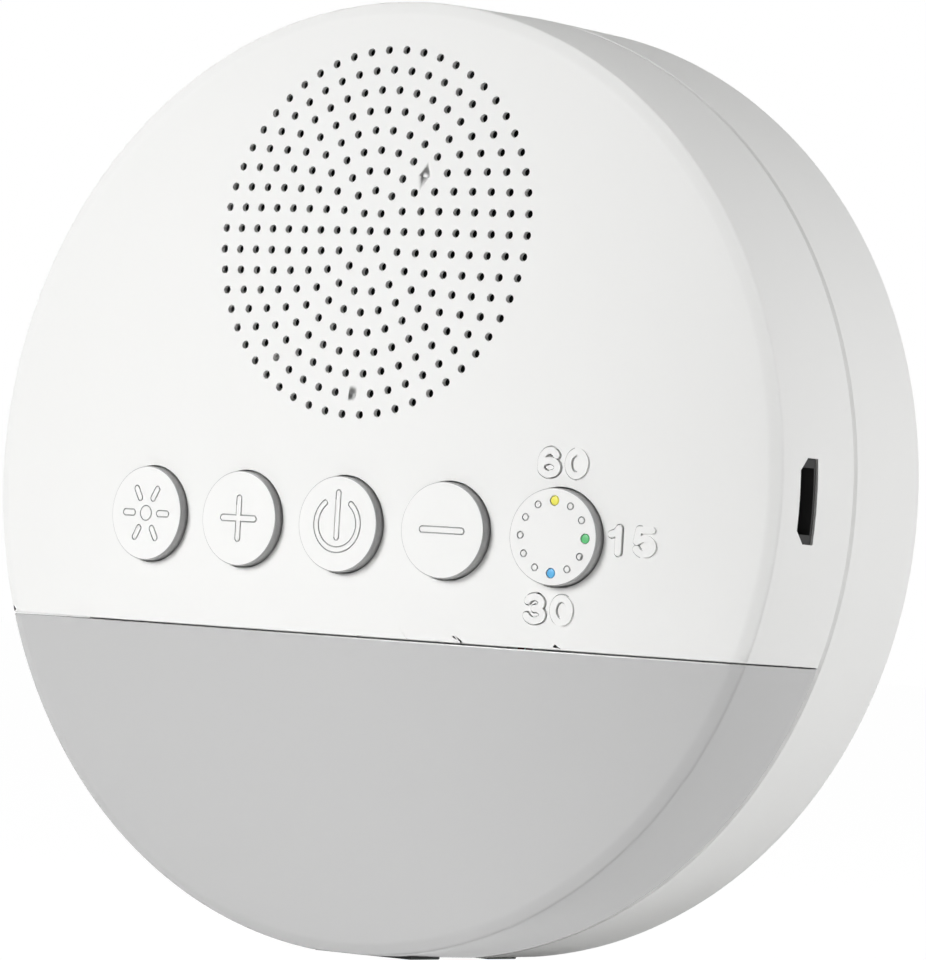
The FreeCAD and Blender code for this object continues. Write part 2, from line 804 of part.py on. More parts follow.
timer_x = button_x(BUTTONS[-1][1])
indicators = []
for colour, angle in WINDOWS:
    x, height = window_place(BUTTONS[-1][1], angle)
    upright = angle == 0
    width = "indicator_width" if upright else "indicator_length"
    tall = "indicator_length" if upright else "indicator_width"
    outward_x = "%s + indicator_width / 2 * cos(%d deg)" % (x, angle)
    outward_z = "%s + indicator_width / 2 * sin(%d deg)" % (height, angle)
    front = "board_depth - indicator_thickness"
    indicators.append(
        centred_block("indicator_" + colour, outward_x, outward_z, width, tall, front, "board_depth")
    )
node("indicator_leds", group("indicator_leds", indicators))

# Micro-USB inlet on the back of the board
usb_start = "usb_end - usb_length"
usb_rear = "board_rear + usb_height"
usb_outer = d_form("usb_outer", usb_start, "usb_end", "board_rear", usb_rear, "usb_slope", "usb_wide", "usb_narrow")
usb_inner = d_form(
    "usb_inner", "%s + usb_wall" % usb_start, "usb_end + usb_wall", "board_rear + usb_wall",
    "%s - usb_wall" % usb_rear, "usb_slope", "usb_wide - 2 * usb_wall", "usb_narrow - 2 * usb_wall",
)
node("usb_shell", cut("usb_shell", usb_outer, [usb_inner]))
usb_block = d_form(
    "usb_block", "%s + usb_wall" % usb_start, "%s + usb_wall + usb_block_length" % usb_start,
    "board_rear + usb_wall + usb_clearance", "%s - usb_wall - usb_clearance" % usb_rear, "usb_slope",
    "usb_wide - 2 * usb_wall - 2 * usb_clearance", "usb_narrow - 2 * usb_wall - 2 * usb_clearance",
)
usb_blade = centred_block(
    "usb_blade", "usb_end - usb_length / 2", "0", "usb_length - 2 * usb_tongue_setback", "usb_tongue_width",
    "board_rear + usb_height / 2 - usb_tongue_thickness / 2",
    "board_rear + usb_height / 2 + usb_tongue_thickness / 2",
)
node("usb_tongue", join("usb_tongue", [usb_block, usb_blade]))

# Speaker behind the grille
cloth_form = rod("cloth_form", "cloth_radius", "front_limit", "seat_depth", "0", "grille_rise")
cloth_front = overlap("cloth_front", cloth_form, dome("cloth_top", "-wall - cloth_gap"))
cloth_under = dome("cloth_under", "-wall - cloth_gap - cloth_thickness")
node("speaker_cloth", cut("speaker_cloth", cloth_front, [cloth_under]))
node("speaker_gasket", ring(
    "speaker_gasket", "seat_inner", "flange_outer", "seat_depth", "gasket_rear", "grille_rise"
))
basket = cut(
    "basket",
    taper("basket_out", "flange_inner + basket_wall", "basket_rear", "basket_front", "basket_end", "grille_rise"),
    [taper("basket_in", "flange_inner", "basket_rear - basket_wall", "basket_front", "basket_end", "grille_rise")],
)
node("speaker_frame", join("speaker_frame", [
    ring("frame_flange", "flange_inner", "flange_outer", "gasket_rear", "basket_front", "grille_rise"),
    basket,
    ring("basket_plate", "basket_bore", "basket_rear", "basket_end", "basket_back", "grille_rise"),
]))
surround_tube = cut(
    "surround_tube",
    roll("surround_out", "surround_radius", "surround_roll", "surround_plane", "grille_rise"),
    [roll("surround_in", "surround_radius", "surround_roll - surround_wall", "surround_plane", "grille_rise")],
)
surround_half = block(
    "surround_half", "-(%s)" % reach, reach, "front_limit", "surround_plane", "-(%s)" % reach, reach
)
node("speaker_surround", overlap("speaker_surround", surround_tube, surround_half))
cone_front = "surround_plane"
cone_rear = "surround_plane + cone_depth"
node("speaker_cone", cut(
    "speaker_cone",
    taper("cone_out", "cone_radius + surround_wall", "cone_neck", cone_front, cone_rear, "grille_rise"),
    [taper("cone_in", "cone_radius + surround_wall - cone_wall", "cone_neck - cone_wall", cone_front, cone_rear,
           "grille_rise")],
))
node("dust_cap", taper("dust_cap", "cone_neck / 2", "cone_neck - cone_wall", "%s - cap_rise" % cone_rear, cone_rear,
                       "grille_rise"))
node("speaker_magnet", rod(
    "speaker_magnet", "magnet_radius", "basket_back", "basket_back + magnet_thickness", "0", "grille_rise"
))
node("speaker_screws", group("speaker_screws", [
    screw(
        "speaker_screw_" + label, x, height, "basket_front", 1, "speaker_screw_head", "speaker_screw_head_height",
        "speaker_screw_radius", "speaker_screw_length",
    )
    for label, x, height in speaker_boss_places()
]))

# Night-light board on the rear shell's posts
light_plate = centred_block(
    "light_plate", "0", "-light_board_drop", "light_board_width", "light_board_height", "light_board_depth",
    "light_board_rear",
)
light_holes = [
    rod("light_plate_hole_" + label, "board_screw_radius + 2 * screw_clearance", "light_board_depth",
        "light_board_rear", "%d * light_post_side" % sign, "-light_board_drop")
    for label, sign in SIDES
]
node("light_board", cut("light_board", light_plate, light_holes))
node("light_board_screws", group("light_board_screws", [
    screw(
        "light_screw_" + label, "%d * light_post_side" % sign, "-light_board_drop", "light_board_depth", -1,
        "board_screw_head", "board_screw_head_height", "board_screw_radius", "board_screw_length",
    )
    for label, sign in SIDES
]))
leds = []
for number in range(int(value("light_led_count"))):
    x = "(%d - (light_led_count - 1) / 2) * light_led_pitch" % number
    leds.append(centred_block(
        "light_led_%d" % number, x, "-light_board_drop", "light_led_width", "light_led_height",
        "light_board_depth - light_led_thickness", "light_board_depth",
    ))
node("light_leds", group("light_leds", leds))

# Battery on the rear wall
node("battery", centred_block(
    "battery", "0", "battery_rise", "battery_width", "battery_height", "battery_front", "tape_front"
))
node("battery_tape", centred_block(
    "battery_tape", "0", "battery_rise", "battery_width - 2 * tape_inset", "battery_height - 2 * tape_inset",
    "tape_front", "rear_inside",
))


# Wires: straight runs joined by tangent arcs
def wire(points):
    share = value("wire_bend_share")
    edges = []
    here = points[0]
    for before, corner, after in zip(points, points[1:], points[2:]):
        toward = (corner - before).normalize()
        onward = (after - corner).normalize()
        cut_back = share * min((corner - before).Length, (after - corner).Length)
        start = corner - toward * cut_back
        end = corner + onward * cut_back
        half_turn = toward.getAngle(onward) / 2
        radius = cut_back / math.tan(half_turn)
        print("wire bend radius %.2f" % radius)
        inward = (onward - toward).normalize()
        middle = corner + inward * (radius / math.cos(half_turn) - radius)
        edges.append(Part.makeLine(here, start))
        edges.append(Part.Arc(start, middle, end).toShape())
        here = end
    edges.append(Part.makeLine(here, points[-1]))
    path = Part.Wire(edges)
    disc = Part.Wire(Part.makeCircle(value("wire_radius"), points[0], points[1] - points[0]))
    tube_solid = path.makePipeShell([disc], True, False)
    expected = math.pi * value("wire_radius") ** 2 * path.Length
    print("wire length %.2f volume %.3f of %.3f" % (path.Length, tube_solid.Volume, expected))
    return tube_solid


def wire_pair(points, across):
    shift = across * (value("wire_pitch") / 2)
    return Part.makeCompound([wire([point - shift for point in points]), wire([point + shift for point in points])])


def at(x, depth, height):
    return FreeCAD.Vector(x, depth, height)


ACROSS = FreeCAD.Vector(1, 0, 0)
UP = FreeCAD.Vector(0, 0, 1)

speaker_x = -value("speaker_socket_side")
terminal_z = value("grille_rise") - math.sqrt(value("terminal_ring") ** 2 - speaker_x ** 2)
speaker_turn = value("basket_back") + value("wire_run")
speaker_path = [
    at(speaker_x, value("basket_back"), terminal_z),
    at(speaker_x, speaker_turn, terminal_z),
    at(speaker_x, speaker_turn, value("speaker_socket_rise")),
    at(speaker_x, value("plug_rear"), value("speaker_socket_rise")),
]
node("speaker_wires", made("speaker_wires", wire_pair(speaker_path, ACROSS)))

battery_z = -value("battery_socket_drop")
battery_y = (value("battery_front") + value("tape_front")) / 2
battery_path = [
    at(-value("battery_width") / 2, battery_y, battery_z),
    at(-value("battery_socket_side"), battery_y, battery_z),
    at(-value("battery_socket_side"), value("plug_rear"), battery_z),
]
node("battery_wires", made("battery_wires", wire_pair(battery_path, UP)))

light_x = value("light_socket_side")
light_z = value("light_board_height") / 2 - value("light_board_drop") - value("light_wire_inset")
light_turn = value("light_board_rear") + value("light_wire_run")
light_path = [
    at(light_x, value("light_board_rear"), light_z),
    at(light_x, light_turn, light_z),
    at(light_x, light_turn, -value("light_socket_drop")),
    at(light_x, value("plug_rear"), -value("light_socket_drop")),
]
node("light_wires", made("light_wires", wire_pair(light_path, ACROSS)))

doc.recompute()
faults = [item.Name for item in doc.Objects if "Invalid" in item.State or "Error" in item.State]
faults += [item.Label for item in nodes if item.Shape.isNull() or not item.Shape.isValid()]
if faults:
    raise RuntimeError("unsound: " + ", ".join(faults))
os.makedirs("parts", exist_ok=True)
for item in nodes:
    item.Shape.exportStep("parts/%s.step" % item.Label)
    print("%s solids %d volume %.1f" % (item.Label, len(item.Shape.Solids), item.Shape.Volume))
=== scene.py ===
import json
import math

import bmesh
import bpy
from bpy.props import FloatProperty, FloatVectorProperty, IntProperty, PointerProperty
from mathutils import Matrix, Vector


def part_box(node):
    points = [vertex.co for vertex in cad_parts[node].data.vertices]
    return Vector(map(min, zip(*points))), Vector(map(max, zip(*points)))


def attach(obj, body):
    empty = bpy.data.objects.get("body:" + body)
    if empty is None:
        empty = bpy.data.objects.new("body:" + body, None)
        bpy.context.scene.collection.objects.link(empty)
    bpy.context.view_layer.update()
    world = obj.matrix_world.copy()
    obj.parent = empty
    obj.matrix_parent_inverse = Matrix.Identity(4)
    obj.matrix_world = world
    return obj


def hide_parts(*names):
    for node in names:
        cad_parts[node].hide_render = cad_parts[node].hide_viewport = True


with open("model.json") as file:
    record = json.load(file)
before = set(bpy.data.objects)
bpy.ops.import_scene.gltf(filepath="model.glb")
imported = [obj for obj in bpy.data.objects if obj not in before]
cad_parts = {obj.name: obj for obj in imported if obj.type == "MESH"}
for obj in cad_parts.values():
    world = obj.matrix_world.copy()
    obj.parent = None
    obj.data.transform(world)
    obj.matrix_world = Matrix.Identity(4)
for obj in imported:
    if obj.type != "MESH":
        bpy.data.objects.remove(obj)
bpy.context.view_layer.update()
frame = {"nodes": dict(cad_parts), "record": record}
BOXES = {name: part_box(name) for name in frame["nodes"]}

bl_info = {
    "name": "Sound machine looks",
    "version": (1, 0, 0),
    "blender": (4, 5, 0),
    "location": "View3D > Sidebar > Sound machine",
    "description": "Shells, buttons, numerals and studio of a round tabletop sound machine",
    "category": "Object",
}

BUTTONS = ("light", "plus", "power", "minus", "timer")
WINDOWS = {"yellow": 90, "green": 0, "blue": -90}
SCREW_ANGLES = (40, 140, 230, 310)
FULL_TURN = 2 * math.pi
AXIS = (0, 1, 0)

# Small sizes, in metres
FLANGE_REACH = 0.0008
FLANGE_GAP = 0.0004
WINDOW_GAP = 0.00005
WINDOW_RISE = 0.00002
POWER_TOP = 0.0039
POWER_FOOT = -0.0018
NUMERAL_REACH = 0.014
NUMERAL_FRONT = 0.004
TRIM_DEPTH = 0.01
PORT_ROOM_ALONG = 0.0005
PORT_ROOM_ACROSS = 0.00115
PORT_SLOPE = 0.0015
SHADE_LINER_GAP = 0.00003
SHADE_LINER_SETBACK = 0.0001
MOUTH_GAP = 0.00005
PAD_LENGTH = 0.006
PAD_GAP = 0.0001
PAD_BEVEL = 0.00015
POST_RADIUS = 0.0042
POST_START = 0.014
WELL_RADIUS = 0.0028
WELL_DEPTH = 0.008
WELL_CHAMFER = 0.0003
WELL_OVERSHOOT = 0.0001
POWER_OPENING = math.radians(38)

# Place of each lamp from what it points at, and the side of its square, in metres
LAMPS = {
    "key": ((-0.152, -0.33, 0.132), 0.25),
    "side": ((0.62, 0.2, 0.2), 0.35),
    "top": ((0.0, 0.1, 0.7), 0.5),
}
KEY_AIM = (-0.012, 0, 0.004)


def amount(default, description, **limits):
    """Property, which is named after its identifier when it is registered."""
    return FloatProperty(default=default, description=description, **limits)


def length(default, description):
    return amount(default, description, unit="LENGTH", precision=5)


def rotation(default, description):
    return amount(default, description, subtype="ANGLE")


def whole(default, description, least):
    return IntProperty(default=default, description=description, min=least)


def tint(default, description):
    return FloatVectorProperty(
        default=default, description=description, subtype="COLOR", size=3, min=0, max=1
    )


class SoundMachineForm(bpy.types.PropertyGroup):
    """Sizes of the shells, measured from the disc's centre and the plane of the face's edge."""

    face_radius: length(0.0546, "Edge circle of the domed face")
    face_crown: length(0.0054, "Height of the dome at its middle")
    edge_depth: length(0.0007, "Depth of the sloping band round the face")
    case_radius: length(0.056, "Outer edge of the sloping band")
    seam_radius: length(0.0564, "Radius at the seam between the shells")
    rear_radius: length(0.0563, "Radius at the rear edge")
    rear_round: length(0.0015, "Rounding of the rear edge")
    front_depth: length(0.0158, "Seam plane behind the face's edge")
    case_depth: length(0.0311, "Rear face behind the face's edge")
    wall: length(0.002, "Thickness of the shells")
    seam_bevel: length(0.00045, "Each side of the groove at the seam")
    lip_depth: length(0.0028, "Reach of the rear shell's lip into the front")
    lip_wall: length(0.0014, "Thickness of the lip")
    lip_clearance: length(0.0002, "Gap between the lip and the front shell")
    divider_drop: length(0.01875, "Joint above the lens, below the disc's centre")
    divider_gap: length(0.00015, "Gap between the white shell and the lens")
    divider_bevel: length(0.00016, "Rounding of both edges at the joint")
    flat_drop: length(0.0558, "Flat underneath, below the disc's centre")
    pad_proud: length(0.0003, "Reach of the pads below the flat")
    post_inset: length(0.0071, "Screw axes inside the wall")
    edge_round: length(0.0003, "Softening of the moulded edges")
    spin_steps: whole(240, "Segments round the disc", 48)


class SoundMachineGrille(bpy.types.PropertyGroup):
    """Round holes on hexagonal rings."""

    rise: length(0.02855, "Middle of the grille above the disc's centre")
    pitch: length(0.0024, "Distance between rings and between holes")
    hole: length(0.001, "Width of a hole")
    rings: whole(9, "Rings round the middle hole", 1)
    hole_sides: whole(14, "Sides of a hole", 6)
    thin_wall: length(0.0006, "Thickness of the perforated face")


class SoundMachineButtons(bpy.types.PropertyGroup):
    """Caps, marks and the numerals round the timer button."""

    proud: length(0.0012, "Height of a cap above the face")
    gap: length(0.0002, "Gap round a cap")
    rounding: length(0.00018, "Rounding of a cap's edge")
    groove_width: length(0.00016, "Width of the groove round each mark")
    groove_depth: length(0.00022, "Depth of the groove round each mark")
    mark_rise: length(0.00003, "Height of a mark above its button")
    numeral_rise: length(0.00022, "Height of the numerals above the face")
    numeral_stroke: length(0.00078, "Width of the numerals' strokes")
    numeral_half: length(0.00137, "Numerals' strokes above and below their middle")
    numeral_width: length(0.00108, "Numerals' strokes to each side of their middle")
    numeral_pitch: length(0.0035, "Distance between two digits")
    stroke: length(0.00058, "Width of the strokes of a mark")
    span: length(0.0059, "Length of the minus stroke")
    plus_span: length(0.0053, "Length of the plus strokes")
    ray_start: length(0.0018, "Inner end of the light mark's rays")
    ray_end: length(0.0036, "Outer end of the light mark's rays")
    sun_radius: length(0.0008, "Middle of the light mark")
    power_radius: length(0.003, "Middle of the power mark's arc")
    power_stroke: length(0.0005, "Width of the power mark's strokes")
    dot_radius: length(0.0003, "Timer dots, inside their grooves")
    dial_radius: length(0.00415, "Circle of the timer dots")


class SoundMachineFinish(bpy.types.PropertyGroup):
    """Colours of what shows."""

    shell: tint((0.88, 0.875, 0.87), "White shells")
    button: tint((0.9, 0.9, 0.9), "Button caps")
    # Painted shade: this grey is painted into the grooves round the marks and onto the caps' edges, in place
    # of their shade
    line: tint((0.46, 0.46, 0.46), "Grooves round the marks, and the caps' edges")
    lens: tint((0.475, 0.475, 0.475), "Unlit night-light lens")
    pad: tint((0.6, 0.6, 0.59), "Silicone pads underneath")
    yellow: tint((0.8, 0.7, 0.0), "Upper timer window")
    green: tint((0.0, 0.6, 0.015), "Right timer window")
    blue: tint((0.0, 0.07, 0.6), "Lower timer window")
    shell_roughness: amount(0.42, "Roughness of the white plastic", min=0, max=1)
    lens_roughness: amount(0.38, "Roughness of the lens", min=0, max=1)


class SoundMachineStudio(bpy.types.PropertyGroup):
    """Camera and lamps."""

    azimuth: rotation(0.6055, "Camera's turn to the right")
    elevation: rotation(-0.02237, "Camera's height angle")
    roll: rotation(0.06871, "Camera's roll")
    distance: length(0.74132, "Camera from the disc's front plane")
    shift_right: length(-0.01056, "Sideways offset of the view")
    shift_up: length(0.00038, "Upward offset of the view")
    lens: amount(237.19, "Focal length in millimetres", min=0)
    sky: amount(0.09, "Strength of the even light", min=0)
    key_power: amount(0.17, "Power of the left lamp in watts", min=0)
    side_power: amount(2.55, "Power of the right lamp in watts", min=0)
    key_spread: rotation(math.radians(35), "Width of the left lamp's beam")
    top_power: amount(0.35, "Power of the lamp above in watts", min=0)


# Places in the row frame
def polar(x, z, radius, turn):
    """Place on a circle round another place."""
    return x + radius * math.cos(turn), z + radius * math.sin(turn)


def form():
    return bpy.context.scene.sound_machine_form


def caps():
    return bpy.context.scene.sound_machine_buttons


def middle():
    """Disc's centre in the plane of the face's edge."""
    sizes = form()
    rear = BOXES["rear_shell"][1].y
    return Vector((0, rear - sizes.case_depth, sizes.flat_drop + sizes.pad_proud))


def dome_radius():
    sizes = form()
    return (sizes.face_radius ** 2 + sizes.face_crown ** 2) / (2 * sizes.face_crown)


def dome_centre():
    return middle() + Vector((0, dome_radius() - form().face_crown, 0))


def dome_depth(x, z, offset=0.0):
    """Depth of the face at a place of the row frame, on a copy of the dome moved out by an offset."""
    centre = dome_centre()
    radius = dome_radius() + offset
    return centre.y - math.sqrt(radius ** 2 - (x - centre.x) ** 2 - (z - centre.z) ** 2)


def node_centre(name):
    """Middle of a node, seen from the front."""
    low, high = BOXES[name]
    return (low.x + high.x) / 2, (low.z + high.z) / 2


def half_width(name):
    low, high = BOXES[name]
    return (high.x - low.x) / 2


def button_centre(name):
    return node_centre(name + "_button")


def button_radius():
    """Radius of a cap: its flange behind the shell is wider."""
    return half_width("power_button") - FLANGE_REACH


# Shader maths
class Field:
    """A socket that adds Math nodes when it is used in an expression."""

    def __init__(self, paint, socket):
        self.paint = paint
        self.socket = socket

    def math(self, operation, other):
        return self.paint.node("ShaderNodeMath", {"operation": operation}, self, other)

    def __add__(self, other):
        return self.math("ADD", other)

    def __mul__(self, other):
        return self.math("MULTIPLY", other)

    def __gt__(self, other):
        return self.math("GREATER_THAN", other)


class Paint:
    """One material and the nodes that it is built from."""

    def __init__(self, name, colour, roughness, metallic=0.0):
        self.material = bpy.data.materials.new(name)
        self.material.use_nodes = True
        self.material.diffuse_color = (*colour, 1)
        self.tree = self.material.node_tree
        self.shader = self.tree.nodes["Principled BSDF"]
        self.colour = tuple(colour)
        self.set("Base Color", (*colour, 1))
        self.set("Roughness", roughness)
        self.set("Metallic", metallic)
        self.roughness = roughness
        self.place = self.node("ShaderNodeTexCoord", {}, output="Object")

    def node(self, kind, settings, *values, output=0, **named):
        made = self.tree.nodes.new(kind)
        for key, setting in settings.items():
            setattr(made, key, setting)
        for slot, given in [*enumerate(values), *named.items()]:
            self.link(given, made.inputs[slot])
        return Field(self, made.outputs[output])

    def link(self, given, socket):
        if isinstance(given, Field):
            self.tree.links.new(given.socket, socket)
        else:
            socket.default_value = given

    def set(self, name, given):
        self.link(given, self.shader.inputs[name])

    def noise(self, scale, detail=2.0, roughness=0.5, place=None):
        return self.node(
            "ShaderNodeTexNoise", {}, Vector=place or self.place, Scale=scale, Detail=detail,
            Roughness=roughness,
        )

    def blend(self, factor, first, second):
        mix = self.tree.nodes.new("ShaderNodeMix")
        mix.data_type = "RGBA"
        self.link(factor, mix.inputs["Factor"])
        self.link(first, mix.inputs[6])
        self.link(second, mix.inputs[7])
        return Field(self, mix.outputs[2])

    def mottle(self, scale, change):
        """Slight unevenness of the colour."""
        darker = tuple(part * (1 - change) for part in self.colour)
        lighter = tuple(min(1, part * (1 + change)) for part in self.colour)
        self.set("Base Color", self.blend(self.noise(scale), (*darker, 1), (*lighter, 1)))
        return self

    def vary_roughness(self, scale, change):
        self.set("Roughness", self.noise(scale) * (2 * change) + (self.roughness - change))
        return self

    def bump(self, height, distance):
        self.set("Normal", self.node("ShaderNodeBump", {}, Strength=1.0, Distance=distance, Height=height))
        return self


def plastic(name, colour, roughness, grain=0.0000015):
    """Moulded plastic with a fine satin grain and faint flow unevenness."""
    paint = Paint(name, colour, roughness)
    paint.mottle(38.0, 0.008)
    paint.vary_roughness(160.0, 0.03)
    return paint.bump(paint.noise(2600.0, 3.0), grain)


def rubber(name, colour):
    paint = Paint(name, colour, 0.8)
    paint.mottle(300.0, 0.15)
    return paint.bump(paint.noise(1800.0, 4.0), 0.00002)


def steel(name, colour, roughness, turned):
    """Metal with fine lines from turning or drawing."""
    paint = Paint(name, colour, roughness, metallic=1.0)
    stretched = paint.node("ShaderNodeMapping", {}, Vector=paint.place, Scale=(1.0, turned, 1.0))
    lines = paint.noise(900.0, 3.0, 0.6, stretched)
    paint.set("Roughness", lines * 0.2 + (roughness - 0.1))
    return paint.bump(lines, 0.000003)


def cloth(name, colour):
    """Woven cloth, two crossing sets of threads."""
    paint = Paint(name, colour, 0.9)
    paint.set("Specular IOR Level", 0.1)
    across, along = [
        paint.node("ShaderNodeTexWave", {"wave_type": "BANDS", "bands_direction": way}, Vector=paint.place,
                   Scale=900.0, Distortion=0.4, output="Fac")
        for way in "XZ"
    ]
    weave = across * along
    lighter = tuple(part * 2.2 for part in colour)
    paint.set("Base Color", paint.blend(weave, (*colour, 1), (*lighter, 1)))
    return paint.bump(weave, 0.00008)


def circuit(name, colour):
    """Solder mask over copper tracks."""
    paint = Paint(name, colour, 0.35)
    tracks = paint.node("ShaderNodeTexVoronoi", {"feature": "DISTANCE_TO_EDGE", "distance": "MANHATTAN"},
                        Vector=paint.place, Scale=220.0)
    mask = tracks > 0.16
    lighter = tuple(min(1, part * 1.5 + 0.02) for part in colour)
    paint.set("Base Color", paint.blend(mask, (*lighter, 1), (*colour, 1)))
    return paint.bump(mask, 0.00003)


def paper(name, colour):
    paint = Paint(name, colour, 0.85)
    paint.mottle(700.0, 0.3)
    return paint.bump(paint.noise(1500.0, 5.0, 0.7), 0.00006)


def foil(name, colour):
    paint = Paint(name, colour, 0.35, metallic=0.8)
    creases = paint.noise(90.0, 5.0, 0.65)
    paint.set("Roughness", creases * 0.25 + 0.22)
    return paint.bump(creases, 0.0003)


def window(name, colour):
    """Tinted light window, glossy, with a faint haze."""
    paint = Paint(name, colour, 0.4)
    paint.mottle(900.0, 0.04)
    paint.set("Specular IOR Level", 0.15)
    paint.set("Emission Color", (*colour, 1))
    paint.set("Emission Strength", 0.3)
    return paint


# Kind and settings of each finish that takes its colour from the record
INNER_FINISHES = {
    "screw_steel": (steel, 0.35, 0.1),
    "plated_steel": (steel, 0.3, 0.2),
    "black_plastic": (plastic, 0.5, 0.00001),
    "socket_plastic": (plastic, 0.45, 0.000005),
    "board_green": (circuit,),
    "board_white": (circuit,),
    "led_plastic": (plastic, 0.3),
    "black_cloth": (cloth,),
    "foam": (rubber,),
    "black_metal": (steel, 0.5, 1.0),
    "cone_paper": (paper,),
    "magnet_iron": (steel, 0.4, 0.3),
    "battery_foil": (foil,),
    "wire_red": (plastic, 0.4),
}


def make_finishes():
    """Material of every slot."""
    finish = bpy.context.scene.sound_machine_finish
    plastic("white_shell", finish.shell, finish.shell_roughness)
    plastic("white_button", finish.button, finish.shell_roughness)
    plastic("lens_plastic", finish.lens, finish.lens_roughness, 0.0000008)
    # Painted shade for the grooves and the caps' edges
    plastic("moulded_line", finish.line, 0.5)
    rubber("pad_rubber", finish.pad)
    for colour in WINDOWS:
        window("window_" + colour, getattr(finish, colour))
    colours = {entry["slot"]: entry["base_color"][:3] for entry in frame["record"]["materials"]}
    for slot, (kind, *settings) in INNER_FINISHES.items():
        kind(slot, colours[slot], *settings)


# Meshes
def rounded(points, roundings, steps=4):
    """Closed outline whose corners are replaced by short curves; a rounding of 0 leaves a corner."""
    outline = []
    count = len(points)
    for number, (corner, rounding) in enumerate(zip(points, roundings)):
        here = Vector(corner)
        if not rounding:
            outline.append(here)
            continue
        before = (Vector(points[number - 1]) - here).normalized() * rounding
        after = (Vector(points[(number + 1) % count]) - here).normalized() * rounding
        for step in range(steps + 1):
            part = step / steps
            outline.append(here + before * (1 - part) ** 2 + after * part ** 2)
    return outline


def outward(mesh):
    bmesh.ops.recalc_face_normals(mesh, faces=mesh.faces)


def bevel(mesh, edges, offset, segments=2):
    bmesh.ops.bevel(
        mesh, geom=edges, offset=offset, offset_type="OFFSET", affect="EDGES", segments=segments, profile=0.5,
        material=-1,
    )


def extrude(mesh, faces, shift, keep=False):
    """Join moved copies of faces to the old ones by walls along the depth."""
    made = bmesh.ops.extrude_face_region(mesh, geom=faces, use_keep_orig=keep)
    moved = [item for item in made["geom"] if isinstance(item, bmesh.types.BMVert)]
    bmesh.ops.translate(mesh, verts=moved, vec=(0, shift, 0))


def spun(outline, steps, centre):
    """Solid of revolution about the depth axis, from a closed outline of radius and depth."""
    mesh = bmesh.new()
    corners = [mesh.verts.new((radius, depth, 0)) for radius, depth in outline]
    edges = [mesh.edges.new(pair) for pair in zip(corners, corners[1:] + corners[:1])]
    for edge in [edge for edge in edges if all(corner.co.x < 1e-9 for corner in edge.verts)]:
        mesh.edges.remove(edge)
        edges.remove(edge)
    bmesh.ops.spin(
        mesh, geom=corners + edges, cent=(0, 0, 0), axis=AXIS, dvec=(0, 0, 0), angle=FULL_TURN, steps=steps,
        use_merge=True, use_duplicate=False,
    )
    bmesh.ops.remove_doubles(mesh, verts=mesh.verts, dist=1e-7)
    outward(mesh)
    bmesh.ops.translate(mesh, verts=mesh.verts, vec=centre)
    return mesh


def add_rod(mesh, radius, x, z, front, rear, sides=32, front_radius=None):
    """Rod along the depth axis."""
    place = Matrix.Translation((x, (front + rear) / 2, z)) @ Matrix.Rotation(math.pi / 2, 4, "X")
    return bmesh.ops.create_cone(
        mesh, cap_ends=True, segments=sides, radius1=radius, radius2=front_radius or radius,
        depth=rear - front, matrix=place,
    )["verts"]


def add_block(mesh, low, high):
    low = Vector(low)
    high = Vector(high)
    size = high - low
    place = Matrix.Translation((low + high) / 2) @ Matrix.Diagonal((*size, 1))
    return bmesh.ops.create_cube(mesh, size=1, matrix=place)["verts"]


def add_stroke(mesh, ends, radius, front, rear, sides=20):
    """Upright stroke with round ends, from one place to another."""
    corners = []
    for x, z in ends:
        corners += add_rod(mesh, radius, x, z, front, rear, sides)
    if len(ends) > 1:
        old_faces = list({face for corner in corners for face in corner.link_faces})
        bmesh.ops.delete(mesh, geom=old_faces, context="FACES_ONLY")
        made = bmesh.ops.convex_hull(mesh, input=corners)
        spare = [item for item in made["geom_interior"] if isinstance(item, bmesh.types.BMVert)]
        bmesh.ops.delete(mesh, geom=spare, context="VERTS")


def add_arc(mesh, centre, radius, half_width, opening, front, rear, steps=64):
    """Ring stroke, open at the top, with flat ends."""
    x, z = centre
    start = math.pi / 2 + opening
    sweep = FULL_TURN - 2 * opening
    corners = [
        mesh.verts.new((radius + side * half_width, depth, 0))
        for side, depth in ((-1, front), (1, front), (1, rear), (-1, rear))
    ]
    face = mesh.faces.new(corners)
    turn = Matrix.Rotation(-start, 4, "Y")
    bmesh.ops.transform(mesh, matrix=turn, verts=corners)
    known = set(mesh.verts) - set(corners)
    bmesh.ops.spin(
        mesh, geom=[face, *face.edges, *corners], cent=(0, 0, 0), axis=AXIS, dvec=(0, 0, 0), angle=-sweep,
        steps=steps, use_merge=False, use_duplicate=False,
    )
    fresh = [corner for corner in mesh.verts if corner not in known]
    bmesh.ops.translate(mesh, verts=fresh, vec=(x, 0, z))


def linked(name, data):
    """New object in the scene."""
    made = bpy.data.objects.new(name, data)
    bpy.context.scene.collection.objects.link(made)
    return made


def as_object(name, mesh):
    data = bpy.data.meshes.new(name)
    mesh.to_mesh(data)
    mesh.free()
    return linked(name, data)


def pour(made, mesh):
    """Move an object's mesh into another one."""
    mesh.from_mesh(made.data)
    bpy.data.objects.remove(made)


def carve(made, cutter_mesh, operation="DIFFERENCE", crossing=True):
    """Cut an object's mesh by another mesh, join the two or keep what they share."""
    outward(cutter_mesh)
    cutter = as_object("cutter", cutter_mesh)
    change = made.modifiers.new("carve", "BOOLEAN")
    change.operation = operation
    change.solver = "EXACT"
    change.use_self = crossing
    change.object = cutter
    shaped = made.evaluated_get(bpy.context.evaluated_depsgraph_get())
    old = made.data
    data = bpy.data.meshes.new_from_object(shaped)
    data.name = made.name
    made.modifiers.clear()
    made.data = data
    bpy.data.meshes.remove(old)
    bpy.data.objects.remove(cutter)
    return made


